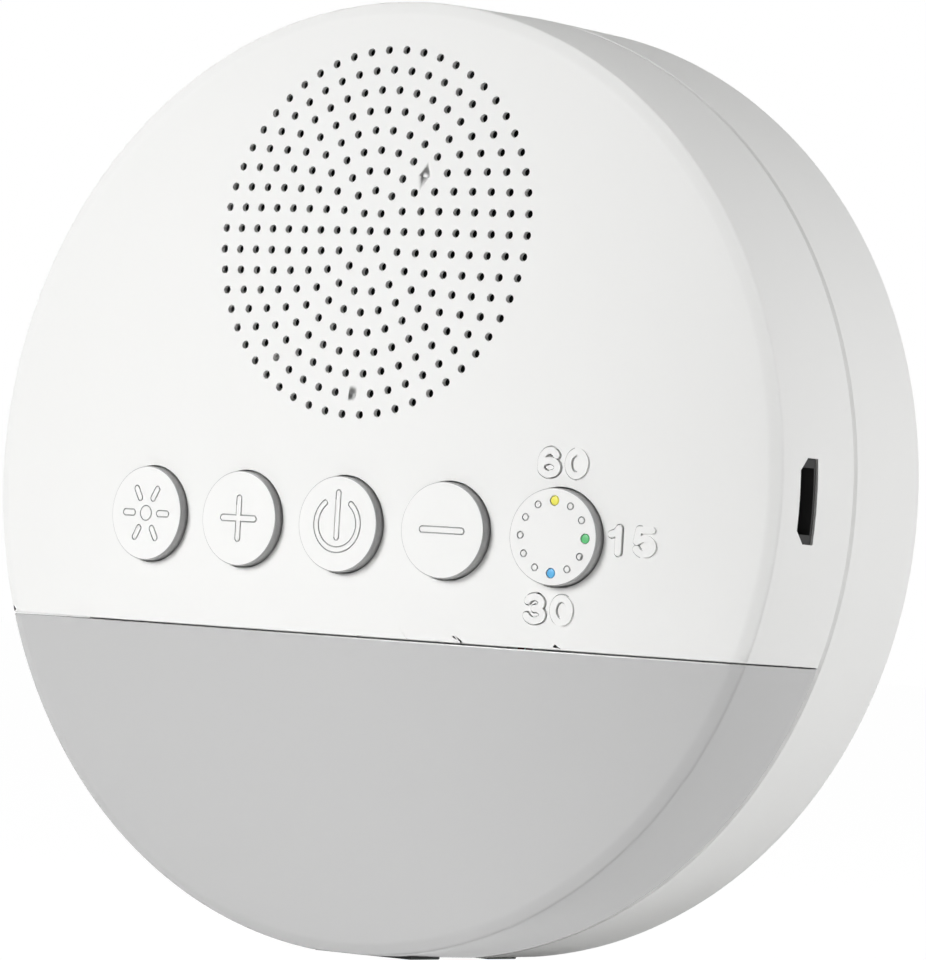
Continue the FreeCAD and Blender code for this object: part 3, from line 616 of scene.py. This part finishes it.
def case_normals(data):
    """Normals of a mesh, with the true ones of the dome and of the side wall where holes cut these up."""
    sizes = form()
    centre = middle()
    ball = dome_centre()
    face_reach = sizes.face_radius - sizes.edge_round
    side_reach = sizes.case_radius - sizes.edge_depth
    side_start = centre.y + sizes.edge_depth + sizes.edge_round
    facing = 0.9
    alike = 0.985
    normals = [corner.vector.copy() for corner in data.corner_normals]
    for face in data.polygons:
        for loop in face.loop_indices:
            place = data.vertices[data.loops[loop].vertex_index].co
            radius = math.hypot(place.x - centre.x, place.z - centre.z)
            if face.normal.y < -facing and radius < face_reach:
                normal = (place - ball).normalized()
            elif radius > side_reach and place.y > side_start:
                normal = Vector((place.x - centre.x, 0, place.z - centre.z)).normalized()
            else:
                continue
            if face.normal.dot(normal) > alike:
                normals[loop] = normal
    return normals


def smooth(made, sharp=28.0, true_form=False):
    """Smooth shading, with the true normals of the case's own surfaces where holes cut them up."""
    data = made.data
    data.polygons.foreach_set("use_smooth", [True] * len(data.polygons))
    data.set_sharp_from_angle(angle=math.radians(sharp))
    if true_form:
        data.normals_split_custom_set(case_normals(data))
    return made


def dress(made, slot, body, *nodes):
    """Give a piece its finish, its body and the nodes that it stands for."""
    made.data.materials.clear()
    made.data.materials.append(bpy.data.materials[slot])
    if nodes:
        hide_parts(*nodes)
    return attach(made, body)


# Shells
def dome_arc(radius, from_radius, to_radius, steps=26):
    """Outline points on a dome about the same centre as the face's."""
    sizes = form()
    centre = dome_radius() - sizes.face_crown
    points = []
    for step in range(steps + 1):
        out = from_radius + (to_radius - from_radius) * step / steps
        points.append((out, centre - math.sqrt(radius ** 2 - out ** 2)))
    return points


def cover_outline(face_wall):
    """Outline of the domed cover, outside and in, with a face of its own thickness."""
    sizes = form()
    inner = sizes.case_radius - sizes.wall
    outside = dome_arc(dome_radius(), 0.0, sizes.face_radius)
    corners = [
        (sizes.case_radius, sizes.edge_depth),
        (sizes.seam_radius, sizes.front_depth - sizes.seam_bevel),
        (sizes.seam_radius - sizes.seam_bevel, sizes.front_depth),
        (inner, sizes.front_depth),
    ]
    inside = dome_arc(dome_radius() - face_wall, inner, 0.0)
    points = outside + corners + inside
    roundings = [0.0] * len(points)
    last = len(outside) - 1
    roundings[last] = sizes.edge_round
    roundings[last + 1] = sizes.edge_round
    roundings[last + 2] = sizes.edge_round / 3
    return rounded(points, roundings)


def divided(mesh, height, upper):
    """Keep one side of a level plane, close the cut and soften its outer edge."""
    sizes = form()
    cut = bmesh.ops.bisect_plane(
        mesh, geom=mesh.verts[:] + mesh.edges[:] + mesh.faces[:], plane_co=(0, 0, height), plane_no=(0, 0, 1),
        clear_inner=upper, clear_outer=not upper, dist=1e-7,
    )
    rim = [item for item in cut["geom_cut"] if isinstance(item, bmesh.types.BMEdge)]
    bmesh.ops.edgeloop_fill(mesh, edges=rim)
    outward(mesh)
    centre = middle()
    outer = []
    for edge in rim:
        if not edge.is_valid:
            continue
        point = (edge.verts[0].co + edge.verts[1].co) / 2 - centre
        radius = math.hypot(point.x, point.z)
        depth = dome_depth(point.x + centre.x, height) - centre.y
        on_face = radius < sizes.face_radius and abs(point.y - depth) < sizes.wall / 2
        on_side = radius > sizes.face_radius and point.y < sizes.front_depth - sizes.edge_depth
        if on_face or on_side:
            outer.append(edge)
    bevel(mesh, outer, sizes.divider_bevel)
    return mesh


def grille_cutter(mesh):
    sizes = form()
    grille = bpy.context.scene.sound_machine_grille
    centre = middle()
    middle_x = centre.x
    middle_z = centre.z + grille.rise
    places = [(middle_x, middle_z)]
    for ring in range(1, grille.rings + 1):
        for step in range(6 * ring):
            places.append(polar(middle_x, middle_z, ring * grille.pitch, FULL_TURN * step / (6 * ring)))
    for x, z in places:
        surface = dome_depth(x, z)
        rear = surface + 2 * sizes.wall
        add_rod(mesh, grille.hole / 2, x, z, surface - sizes.wall / 2, rear, grille.hole_sides)


def port_form(mesh, clearance):
    """Solid of the inlet in the right side, with two corners cut off."""
    low, high = BOXES["usb_shell"]
    margin = PORT_ROOM_ALONG - clearance
    side = PORT_ROOM_ACROSS - clearance
    wall = form().wall
    front = low.y - margin
    block = add_block(
        mesh, (high.x - 2 * wall, front, low.z - side),
        (high.x + 3 * wall, high.y + margin, high.z + side),
    )
    edges = {
        edge for corner in block for edge in corner.link_edges
        if all(abs(end.co.y - front) < 1e-6 for end in edge.verts)
        and abs(edge.verts[0].co.z - edge.verts[1].co.z) < 1e-6
    }
    bevel(mesh, list(edges), PORT_SLOPE, 1)


class SOUND_OT_front_shell(bpy.types.Operator):
    """White domed shell with the grille, the button holes, the inlet and the numbers' grooves"""

    bl_idname = "sound.front_shell"
    bl_label = "Front shell"

    def execute(self, context):
        sizes = form()
        centre = middle()
        buttons = caps()
        mesh = spun(cover_outline(context.scene.sound_machine_grille.thin_wall), sizes.spin_steps, centre)
        divided(mesh, centre.z - sizes.divider_drop, True)
        shell = as_object("front_shell_cover", mesh)
        cutter = bmesh.new()
        grille_cutter(cutter)
        for name in BUTTONS:
            x, z = button_centre(name)
            radius = button_radius() + buttons.gap
            add_rod(cutter, radius, x, z, centre.y - 2 * sizes.face_crown, centre.y + sizes.wall, 96)
        port_form(cutter, 0.0)
        for text, x, z in numeral_places():
            rear = dome_depth(x, z) + buttons.groove_depth
            pour(numeral_solid(text, x, z, buttons.groove_width, buttons.proud, rear), cutter)
        carve(shell, cutter)
        smooth(shell, true_form=True)
        dress(shell, "white_shell", "housing", "front_shell")
        paint_shade_in_grooves(shell, 0.0)
        return {"FINISHED"}


class SOUND_OT_light_lens(bpy.types.Operator):
    """Grey lens over the lower part of the front"""

    bl_idname = "sound.light_lens"
    bl_label = "Light lens"

    def execute(self, context):
        sizes = form()
        centre = middle()
        mesh = spun(cover_outline(sizes.wall), sizes.spin_steps, centre)
        divided(mesh, centre.z - sizes.divider_drop - sizes.divider_gap, False)
        lens = as_object("light_lens_cover", mesh)
        carve(lens, foot_cutter(0))
        smooth(lens, true_form=True)
        dress(lens, "lens_plastic", "housing", "light_lens")
        return {"FINISHED"}


def pad_boxes():
    """Boxes of the two pads, front and rear, from the box round both."""
    low, high = BOXES["foot_pads"]
    first = (low, Vector((high.x, low.y + PAD_LENGTH, high.z)))
    second = (Vector((low.x, high.y - PAD_LENGTH, low.z)), high)
    return first, second


def foot_cutter(number):
    """Flat underneath and the seat of one pad."""
    sizes = form()
    low, high = pad_boxes()[number]
    reach = sizes.seam_radius
    mesh = bmesh.new()
    add_block(mesh, (-reach, -reach, -reach), (reach, reach, sizes.pad_proud))
    add_block(
        mesh, (low.x - PAD_GAP, low.y - PAD_GAP, -reach / 2),
        (high.x + PAD_GAP, high.y + PAD_GAP, high.z),
    )
    return mesh


class SOUND_OT_rear_shell(bpy.types.Operator):
    """White rear shell with its lip, screw wells and the flat underneath"""

    bl_idname = "sound.rear_shell"
    bl_label = "Rear shell"

    def execute(self, context):
        sizes = form()
        centre = middle()
        lip = sizes.case_radius - sizes.wall - sizes.lip_clearance
        bore = sizes.rear_radius - sizes.wall
        seam = sizes.front_depth
        tip = seam - sizes.lip_depth
        root = seam + sizes.lip_wall
        back = sizes.case_depth
        corners = [
            (0.0, back),
            (sizes.rear_radius, back),
            (sizes.seam_radius, seam + sizes.seam_bevel),
            (sizes.seam_radius - sizes.seam_bevel, seam),
            (lip, seam),
            (lip, tip),
            (lip - sizes.lip_wall, tip),
            (lip - sizes.lip_wall, root),
            (bore, root),
            (bore, back - sizes.wall),
            (0.0, back - sizes.wall),
        ]
        roundings = [0, sizes.rear_round, sizes.edge_round / 3, 0, 0, 0, 0, 0, 0, 0, 0]
        shell = as_object("rear_shell_cover", spun(rounded(corners, roundings, 7), sizes.spin_steps, centre))
        carve(shell, foot_cutter(1))
        rear = centre.y + back
        posts = bmesh.new()
        wells = bmesh.new()
        ring = sizes.case_radius - sizes.wall - sizes.post_inset
        for angle in SCREW_ANGLES:
            x, z = polar(centre.x, centre.z, ring, math.radians(angle))
            add_rod(posts, POST_RADIUS, x, z, centre.y + POST_START, rear - sizes.wall / 2)
            add_rod(wells, WELL_RADIUS, x, z, rear - WELL_DEPTH, rear + sizes.wall)
            add_rod(
                wells, WELL_RADIUS + WELL_CHAMFER, x, z, rear - WELL_CHAMFER, rear + WELL_OVERSHOOT,
                front_radius=WELL_RADIUS,
            )
        carve(shell, posts, "UNION", crossing=False)
        carve(shell, wells)
        smooth(shell, true_form=True)
        dress(shell, "white_shell", "housing", "rear_shell")
        return {"FINISHED"}


# Marks, buttons and numerals
def light_mark(mesh, centre, grow, front, rear):
    sizes = caps()
    x, z = centre
    half = sizes.stroke / 2
    add_stroke(mesh, [(x, z)], sizes.sun_radius + grow, front, rear, 32)
    for number in range(6):
        angle = FULL_TURN * number / 6
        ends = [polar(x, z, out, angle) for out in (sizes.ray_start + half, sizes.ray_end - half)]
        add_stroke(mesh, ends, half + grow, front, rear)


def bars(mesh, centre, span, ways, grow, front, rear):
    """Level and upright strokes that cross at a place."""
    radius = caps().stroke / 2
    half = span / 2 - radius
    x, z = centre
    for right, up in ways:
        ends = [(x - half * right, z - half * up), (x + half * right, z + half * up)]
        add_stroke(mesh, ends, radius + grow, front, rear)


def minus_mark(mesh, centre, *reach):
    bars(mesh, centre, caps().span, [(1, 0)], *reach)


def plus_mark(mesh, centre, *reach):
    bars(mesh, centre, caps().plus_span, [(1, 0), (0, 1)], *reach)


def power_mark(mesh, centre, grow, front, rear):
    sizes = caps()
    x, z = centre
    half = sizes.power_stroke / 2
    add_arc(mesh, (x, z), sizes.power_radius, half + grow, POWER_OPENING, front, rear)
    for side in (-1, 1):
        end_x = x + side * sizes.power_radius * math.sin(POWER_OPENING)
        end_z = z + sizes.power_radius * math.cos(POWER_OPENING)
        add_stroke(mesh, [(end_x, end_z)], half + grow, front, rear)
    add_stroke(mesh, [(x, z + POWER_FOOT + half), (x, z + POWER_TOP - half)], half + grow, front, rear)


def timer_mark(mesh, centre, grow, front, rear):
    """Nine dots of the twelve round the timer button: the coloured windows take the other places."""
    sizes = caps()
    x, z = centre
    windows = [turn % 360 for turn in WINDOWS.values()]
    for angle in range(0, 360, 30):
        if angle in windows:
            continue
        place = polar(x, z, sizes.dial_radius, math.radians(angle))
        add_stroke(mesh, [place], sizes.dot_radius + grow, front, rear, 16)


MARKS = {
    "light": light_mark, "plus": plus_mark, "power": power_mark, "minus": minus_mark, "timer": timer_mark
}


def cap_outline(name):
    """Outline of a cap and its flange: rings across the top, so that it can follow the face."""
    sizes = caps()
    case = form()
    radius = button_radius()
    flange = half_width(name + "_button")
    surface = dome_depth(*button_centre(name), sizes.proud)
    seat = dome_depth(*button_centre(name), -case.wall) + FLANGE_GAP - surface
    rear = BOXES[name + "_button"][1].y - surface
    rings = 10
    top = [((radius - sizes.rounding) * step / rings, 0.0) for step in range(rings + 1)]
    corners = top + [(radius, 0.0), (radius, seat), (flange, seat), (flange, rear), (0.0, rear)]
    roundings = [0.0] * len(top) + [sizes.rounding, 0.0, sizes.rounding, sizes.rounding, 0.0]
    outline = rounded(corners, roundings, 5)
    return [
        tuple(corner) for number, corner in enumerate(outline)
        if number == 0 or corner != outline[number - 1]
    ]


class SOUND_OT_buttons(bpy.types.Operator):
    """Caps of the five push buttons, with the grooves of their marks"""

    bl_idname = "sound.buttons"
    bl_label = "Buttons"

    def execute(self, context):
        for name in BUTTONS:
            make_button(name)
        return {"FINISHED"}


def make_button(name):
    sizes = caps()
    x, z = button_centre(name)
    rear = BOXES[name + "_button"][1].y
    surface = dome_depth(x, z, sizes.proud)
    mesh = spun(cap_outline(name), 128, (x, surface, z))
    for corner in mesh.verts:
        if corner.co.y < surface + sizes.proud / 2:
            corner.co.y += dome_depth(corner.co.x, corner.co.z, sizes.proud) - surface
    cap = as_object(name + "_cap", mesh)
    marks = bmesh.new()
    MARKS[name](marks, (x, z), sizes.groove_width, surface - sizes.proud, rear)
    raised = as_object("raised", marks)
    cutter = bmesh.new()
    pour(trim(raised, (x, z), sizes.proud - sizes.groove_depth, "INTERSECT"), cutter)
    if name == "timer":
        for colour in WINDOWS:
            light = "timer_light_" + colour
            across = half_width(light) + WINDOW_GAP
            add_rod(cutter, across, *node_centre(light), surface - sizes.proud, rear + sizes.proud)
    carve(cap, cutter)
    smooth(cap, 30.0, True)
    dress(cap, "white_button", name + "_key", name + "_button")
    paint_shade_in_grooves(cap, sizes.proud, (x, z))


def paint_shade_in_grooves(made, offset, button=None):
    """Darken the grooves pressed into the face or a cap, and the edge of a cap, with painted shade: a grey
    second material in place of the shade in the grooves and in the gap round a cap.
    """
    sizes = caps()
    data = made.data
    data.materials.append(bpy.data.materials["moulded_line"])
    edge = button_radius() - sizes.rounding * 0.8
    shallow = sizes.groove_depth * 0.2
    deep = sizes.groove_depth * 1.3
    x, z = button or button_centre("timer")
    for face in data.polygons:
        place = face.center
        out = math.hypot(place.x - x, place.z - z)
        if not button and not button_radius() + 2 * sizes.gap < out < NUMERAL_REACH:
            continue
        # Painted shade on a cap's edge, for the gap round it, and on the faces inside the grooves
        edge_shade = button and edge < out and place.y < dome_depth(place.x, place.z, -sizes.proud)
        depth = place.y - dome_depth(place.x, place.z, offset)
        if edge_shade or (shallow < depth < deep and not face.normal.y > 0.5):
            face.material_index = 1


def trim(made, place, offset, operation="DIFFERENCE", half=0.009, steps=24):
    """Cut a piece by the space in front of the face's dome, moved out by an offset."""
    mesh = bmesh.new()
    grid = bmesh.ops.create_grid(mesh, x_segments=steps, y_segments=steps, size=half)["verts"]
    for corner in grid:
        across = corner.co.x + place[0]
        up = corner.co.y + place[1]
        corner.co = (across, dome_depth(across, up, offset), up)
    extrude(mesh, mesh.faces[:], -TRIM_DEPTH)
    return carve(made, mesh, operation)


class SOUND_OT_marks(bpy.types.Operator):
    """Raised strokes of the marks, each inside its groove"""

    bl_idname = "sound.marks"
    bl_label = "Marks"

    def execute(self, context):
        sizes = caps()
        for name in BUTTONS:
            place = button_centre(name)
            surface = dome_depth(*place, sizes.proud)
            mesh = bmesh.new()
            MARKS[name](mesh, place, 0.0, surface - sizes.proud, surface + 2 * sizes.groove_depth)
            mark = as_object(name + "_mark", mesh)
            trim(mark, place, sizes.proud + sizes.mark_rise)
            smooth(mark, 30.0, True)
            dress(mark, "white_button", name + "_key")
        return {"FINISHED"}


def oval(across, up, wide, tall, start, end, steps=22):
    """Places on part of an oval, by angle in degrees."""
    angles = [math.radians(start + (end - start) * step / steps) for step in range(steps + 1)]
    return [(across + wide * math.cos(angle), up + tall * math.sin(angle)) for angle in angles]


# Strokes of each digit, in half widths and half heights of the digit
DIGITS = {
    "0": [oval(0, 0, 1, 1, 90, 450, 40)],
    "1": [[(0.25, -1), (0.25, 1)], [(0.25, 0.95), (-0.1, 0.62), (-0.6, 0.5)]],
    "3": [oval(0, 0.5, 0.86, 0.5, 165, -90), oval(0, -0.48, 1, 0.52, 90, -165)],
    "5": [[(0.82, 1), (-0.68, 1)], [(-0.68, 1), (-0.9, 0.02)], oval(0, -0.36, 1, 0.64, 142, -155)],
    "6": [oval(0, -0.42, 1, 0.58, 90, 450, 40), oval(0, 0, 1, 1, 38, 200)],
}
NUMERALS = (("60", 0.0001, 0.0085), ("15", 0.0092, 0.00005), ("30", -0.0008, -0.0083))


def numeral_places():
    timer_x, timer_z = button_centre("timer")
    return [(text, timer_x + right, timer_z + up) for text, right, up in NUMERALS]


def round_end(tip, before, radius, steps=8):
    """Half circle round a stroke's tip, from its left to its right."""
    way = (tip - before).normalized() * radius
    side = Vector((-way.y, way.x))
    turns = [math.pi * step / steps for step in range(1, steps)]
    return [tip + side * math.cos(turn) + way * math.sin(turn) for turn in turns]


def add_ribbon(mesh, places, radius, front, rear):
    """Upright ribbon along places, with round ends, or a ring where they meet again."""
    closed = math.dist(places[0], places[-1]) < 1e-9
    points = [Vector(place) for place in (places[:-1] if closed else places)]
    count = len(points)
    left = []
    right = []
    for number, point in enumerate(points):
        before = points[number - 1] if number or closed else point
        after = points[(number + 1) % count] if closed else points[min(number + 1, count - 1)]
        way = (after - before).normalized()
        side = Vector((-way.y, way.x)) * radius
        left.append(point + side)
        right.append(point - side)
    if closed:
        rings = [
            [mesh.verts.new((place.x, depth, place.y)) for place in line]
            for line, depth in ((left, front), (right, front), (right, rear), (left, rear))
        ]
        for first, second in zip(rings, rings[1:] + rings[:1]):
            for number in range(count):
                onward = (number + 1) % count
                mesh.faces.new((first[number], first[onward], second[onward], second[number]))
        return
    end_cap = round_end(points[-1], points[-2], radius)
    start_cap = round_end(points[0], points[1], radius)
    outline = left + end_cap + right[::-1] + start_cap
    face = mesh.faces.new([mesh.verts.new((place.x, front, place.y)) for place in outline])
    extrude(mesh, [face], rear - front, True)


def add_numeral(mesh, text, x, z, grow, front, rear):
    """Strokes of a two-digit number, centred on a place."""
    sizes = caps()
    for side, digit in zip((-1, 1), text):
        centre = x + side * sizes.numeral_pitch / 2
        for stroke in DIGITS[digit]:
            places = [
                (centre + across * sizes.numeral_width, z + up * sizes.numeral_half) for across, up in stroke
            ]
            add_ribbon(mesh, places, sizes.numeral_stroke / 2 + grow, front, rear)


def numeral_solid(text, x, z, grow, offset, rear):
    """A number's strokes as one solid, whose front follows the face moved out by an offset."""
    surface = dome_depth(x, z)
    mesh = bmesh.new()
    add_numeral(mesh, text, x, z, grow, surface - NUMERAL_FRONT, rear)
    outward(mesh)
    return trim(as_object("numeral_" + text, mesh), (x, z), offset)


class SOUND_OT_numerals(bpy.types.Operator):
    """Raised numbers round the timer button, each inside its groove"""

    bl_idname = "sound.numerals"
    bl_label = "Numerals"

    def execute(self, context):
        sizes = caps()
        for text, x, z in numeral_places():
            rear = dome_depth(x, z) + 2 * sizes.groove_depth
            number = numeral_solid(text, x, z, 0.0, sizes.numeral_rise, rear)
            dress(smooth(number, 30.0, True), "white_button", "housing")
        return {"FINISHED"}


class SOUND_OT_port_shade_liner(bpy.types.Operator):
    """Black liner in the inlet, round the connector's mouth: painted shade, a dark sheet over the inlet's
    white walls in place of the shade inside the inlet
    """

    bl_idname = "sound.port_bezel"
    bl_label = "Port bezel"

    def execute(self, context):
        sizes = form()
        centre = middle()
        low, high = BOXES["usb_shell"]
        mesh = bmesh.new()
        port_form(mesh, SHADE_LINER_GAP)
        shade_liner = as_object("port_bezel", mesh)
        disc = bmesh.new()
        radius = sizes.case_radius - SHADE_LINER_SETBACK
        add_rod(disc, radius, centre.x, centre.z, centre.y, centre.y + sizes.front_depth, sizes.spin_steps)
        carve(shade_liner, disc, "INTERSECT", crossing=False)
        mouth = bmesh.new()
        gap = Vector((0, MOUTH_GAP, MOUTH_GAP))
        add_block(mouth, low - gap, high + gap + Vector((3 * sizes.wall, 0, 0)))
        carve(shade_liner, mouth, crossing=False)
        # Painted shade: the liner's black darkens the inside of the inlet
        dress(smooth(shade_liner), "black_plastic", "housing")
        return {"FINISHED"}


class SOUND_OT_small_parts(bpy.types.Operator):
    """Pads underneath and the windows of the timer button"""

    bl_idname = "sound.small_parts"
    bl_label = "Small parts"

    def execute(self, context):
        mesh = bmesh.new()
        for low, high in pad_boxes():
            add_block(mesh, low, high)
        bevel(mesh, mesh.edges[:], PAD_BEVEL)
        dress(smooth(as_object("pads", mesh)), "pad_rubber", "housing", "foot_pads")
        sizes = caps()
        for colour in WINDOWS:
            node = "timer_light_" + colour
            x, z = node_centre(node)
            radius = half_width(node)
            front = dome_depth(x, z, sizes.proud) + WINDOW_RISE
            rear = BOXES[node][1].y
            outline = [(0.0, front), (radius, front), (radius, rear), (0.0, rear)]
            shape = spun(rounded(outline, [0, radius / 3, 0, 0]), 32, (x, 0, z))
            light = smooth(as_object("timer_window_" + colour, shape))
            dress(light, "window_" + colour, "timer_key", node)
        return {"FINISHED"}


class SOUND_OT_inner_parts(bpy.types.Operator):
    """Finish every inner part and fastener"""

    bl_idname = "sound.inner_parts"
    bl_label = "Inner parts"

    def execute(self, context):
        slots = {part["node"]: part["material_slot"] for part in frame["record"]["subparts"]}
        for name, node in frame["nodes"].items():
            node.data.materials.clear()
            node.data.materials.append(bpy.data.materials[slots[name]])
        return {"FINISHED"}


class SOUND_OT_stage(bpy.types.Operator):
    """Floor, sky, lamps and camera"""

    bl_idname = "sound.stage"
    bl_label = "Stage"

    def execute(self, context):
        studio = context.scene.sound_machine_studio
        make_floor()
        make_sky(studio.sky)
        centre = middle()
        lamp("key", studio.key_power, centre + Vector(KEY_AIM), studio.key_spread)
        lamp("side", studio.side_power, centre)
        lamp("top", studio.top_power, centre)
        make_camera(studio)
        context.scene.view_settings.view_transform = "Standard"
        return {"FINISHED"}


def make_floor():
    mesh = bmesh.new()
    bmesh.ops.create_grid(mesh, x_segments=1, y_segments=1, size=6.0)
    floor = as_object("floor", mesh)
    paint = Paint("floor", (0.9, 0.9, 0.9), 0.9)
    paint.mottle(3.0, 0.01)
    path = paint.node("ShaderNodeLightPath", {}, output="Is Camera Ray")
    seen = path
    for ray in ("Is Glossy Ray", "Is Transmission Ray"):
        seen = seen.math("MAXIMUM", Field(paint, path.socket.node.outputs[ray]))
    glow = paint.node("ShaderNodeEmission", {}, (1, 1, 1, 1), 1.05)
    output = paint.tree.nodes["Material Output"]
    mix = paint.node("ShaderNodeMixShader", {}, seen * 0.94, Field(paint, paint.shader.outputs[0]), glow)
    paint.tree.links.new(mix.socket, output.inputs["Surface"])
    floor.data.materials.append(paint.material)


def make_sky(strength):
    """Even light of a given strength, which the camera sees as plain white."""
    world = bpy.data.worlds.new("studio")
    bpy.context.scene.world = world
    world.use_nodes = True
    tree = world.node_tree
    tree.nodes.clear()
    path, seen, mix, output = [
        tree.nodes.new("ShaderNode" + kind) for kind in ("LightPath", "Math", "MixShader", "OutputWorld")
    ]
    seen.operation = "MAXIMUM"
    tree.links.new(path.outputs["Is Camera Ray"], seen.inputs[0])
    tree.links.new(path.outputs["Is Transmission Ray"], seen.inputs[1])
    tree.links.new(seen.outputs[0], mix.inputs[0])
    for socket, shine in ((1, strength), (2, 1.0)):
        sky = tree.nodes.new("ShaderNodeBackground")
        sky.inputs["Strength"].default_value = shine
        sky.inputs["Color"].default_value = (1, 1, 1, 1)
        tree.links.new(sky.outputs[0], mix.inputs[socket])
    tree.links.new(mix.outputs[0], output.inputs["Surface"])


def lamp(name, power, target, spread=math.pi):
    place, size = LAMPS[name]
    light = bpy.data.lights.new(name, "AREA")
    light.energy = power
    light.shape = "SQUARE"
    light.size = size
    light.spread = spread
    holder = linked(name, light)
    holder.location = Vector(place) + target
    holder.rotation_euler = Vector(place).to_track_quat("Z", "Y").to_euler()


def make_camera(studio):
    """Camera of the photograph: turned about the disc's centre, rolled, then offset sideways."""
    turn = studio.azimuth
    tilt = studio.elevation
    back = Vector((math.sin(turn) * math.cos(tilt), -math.cos(turn) * math.cos(tilt), math.sin(tilt)))
    level = Vector((math.cos(turn), math.sin(turn), 0))
    upward = back.cross(level)
    right = math.cos(studio.roll) * level + math.sin(studio.roll) * upward
    up = -math.sin(studio.roll) * level + math.cos(studio.roll) * upward
    camera = bpy.data.cameras.new("camera")
    camera.lens = studio.lens
    camera.sensor_width = 36.0
    holder = linked("camera", camera)
    place = middle() + back * studio.distance - right * studio.shift_right - up * studio.shift_up
    axes = Matrix((right, up, back)).transposed().to_4x4()
    holder.matrix_world = Matrix.Translation(place) @ axes
    bpy.context.scene.camera = holder


class SOUND_PT_panel(bpy.types.Panel):
    """Sidebar panel with every step"""

    bl_idname = "SOUND_PT_panel"
    bl_label = "Sound machine"
    bl_space_type = "VIEW_3D"
    bl_region_type = "UI"
    bl_category = "Sound machine"

    def draw(self, context):
        column = self.layout.column()
        for operator in OPERATORS:
            column.operator(operator.bl_idname)
        for group in GROUPS:
            holder = getattr(context.scene, "sound_machine_" + group)
            for name in holder.__annotations__:
                column.prop(holder, name)


GROUPS = {
    "form": SoundMachineForm,
    "grille": SoundMachineGrille,
    "buttons": SoundMachineButtons,
    "finish": SoundMachineFinish,
    "studio": SoundMachineStudio,
}
OPERATORS = (
    SOUND_OT_inner_parts,
    SOUND_OT_front_shell,
    SOUND_OT_light_lens,
    SOUND_OT_rear_shell,
    SOUND_OT_buttons,
    SOUND_OT_marks,
    SOUND_OT_numerals,
    SOUND_OT_port_shade_liner,
    SOUND_OT_small_parts,
    SOUND_OT_stage,
)


def register():
    for name, group in GROUPS.items():
        for identifier, made in group.__annotations__.items():
            made.keywords["name"] = identifier.replace("_", " ").capitalize()
        bpy.utils.register_class(group)
        setattr(bpy.types.Scene, "sound_machine_" + name, PointerProperty(type=group))
    for operator in (*OPERATORS, SOUND_PT_panel):
        bpy.utils.register_class(operator)


def unregister():
    for operator in (SOUND_PT_panel, *OPERATORS):
        bpy.utils.unregister_class(operator)
    for name, group in GROUPS.items():
        delattr(bpy.types.Scene, "sound_machine_" + name)
        bpy.utils.unregister_class(group)


def main():
    register()
    make_finishes()
    for operator in OPERATORS:
        module, name = operator.bl_idname.split(".")
        if getattr(getattr(bpy.ops, module), name)() != {"FINISHED"}:
            raise RuntimeError(operator.bl_label + " didn't finish")


if __name__ == "__main__":
    main()
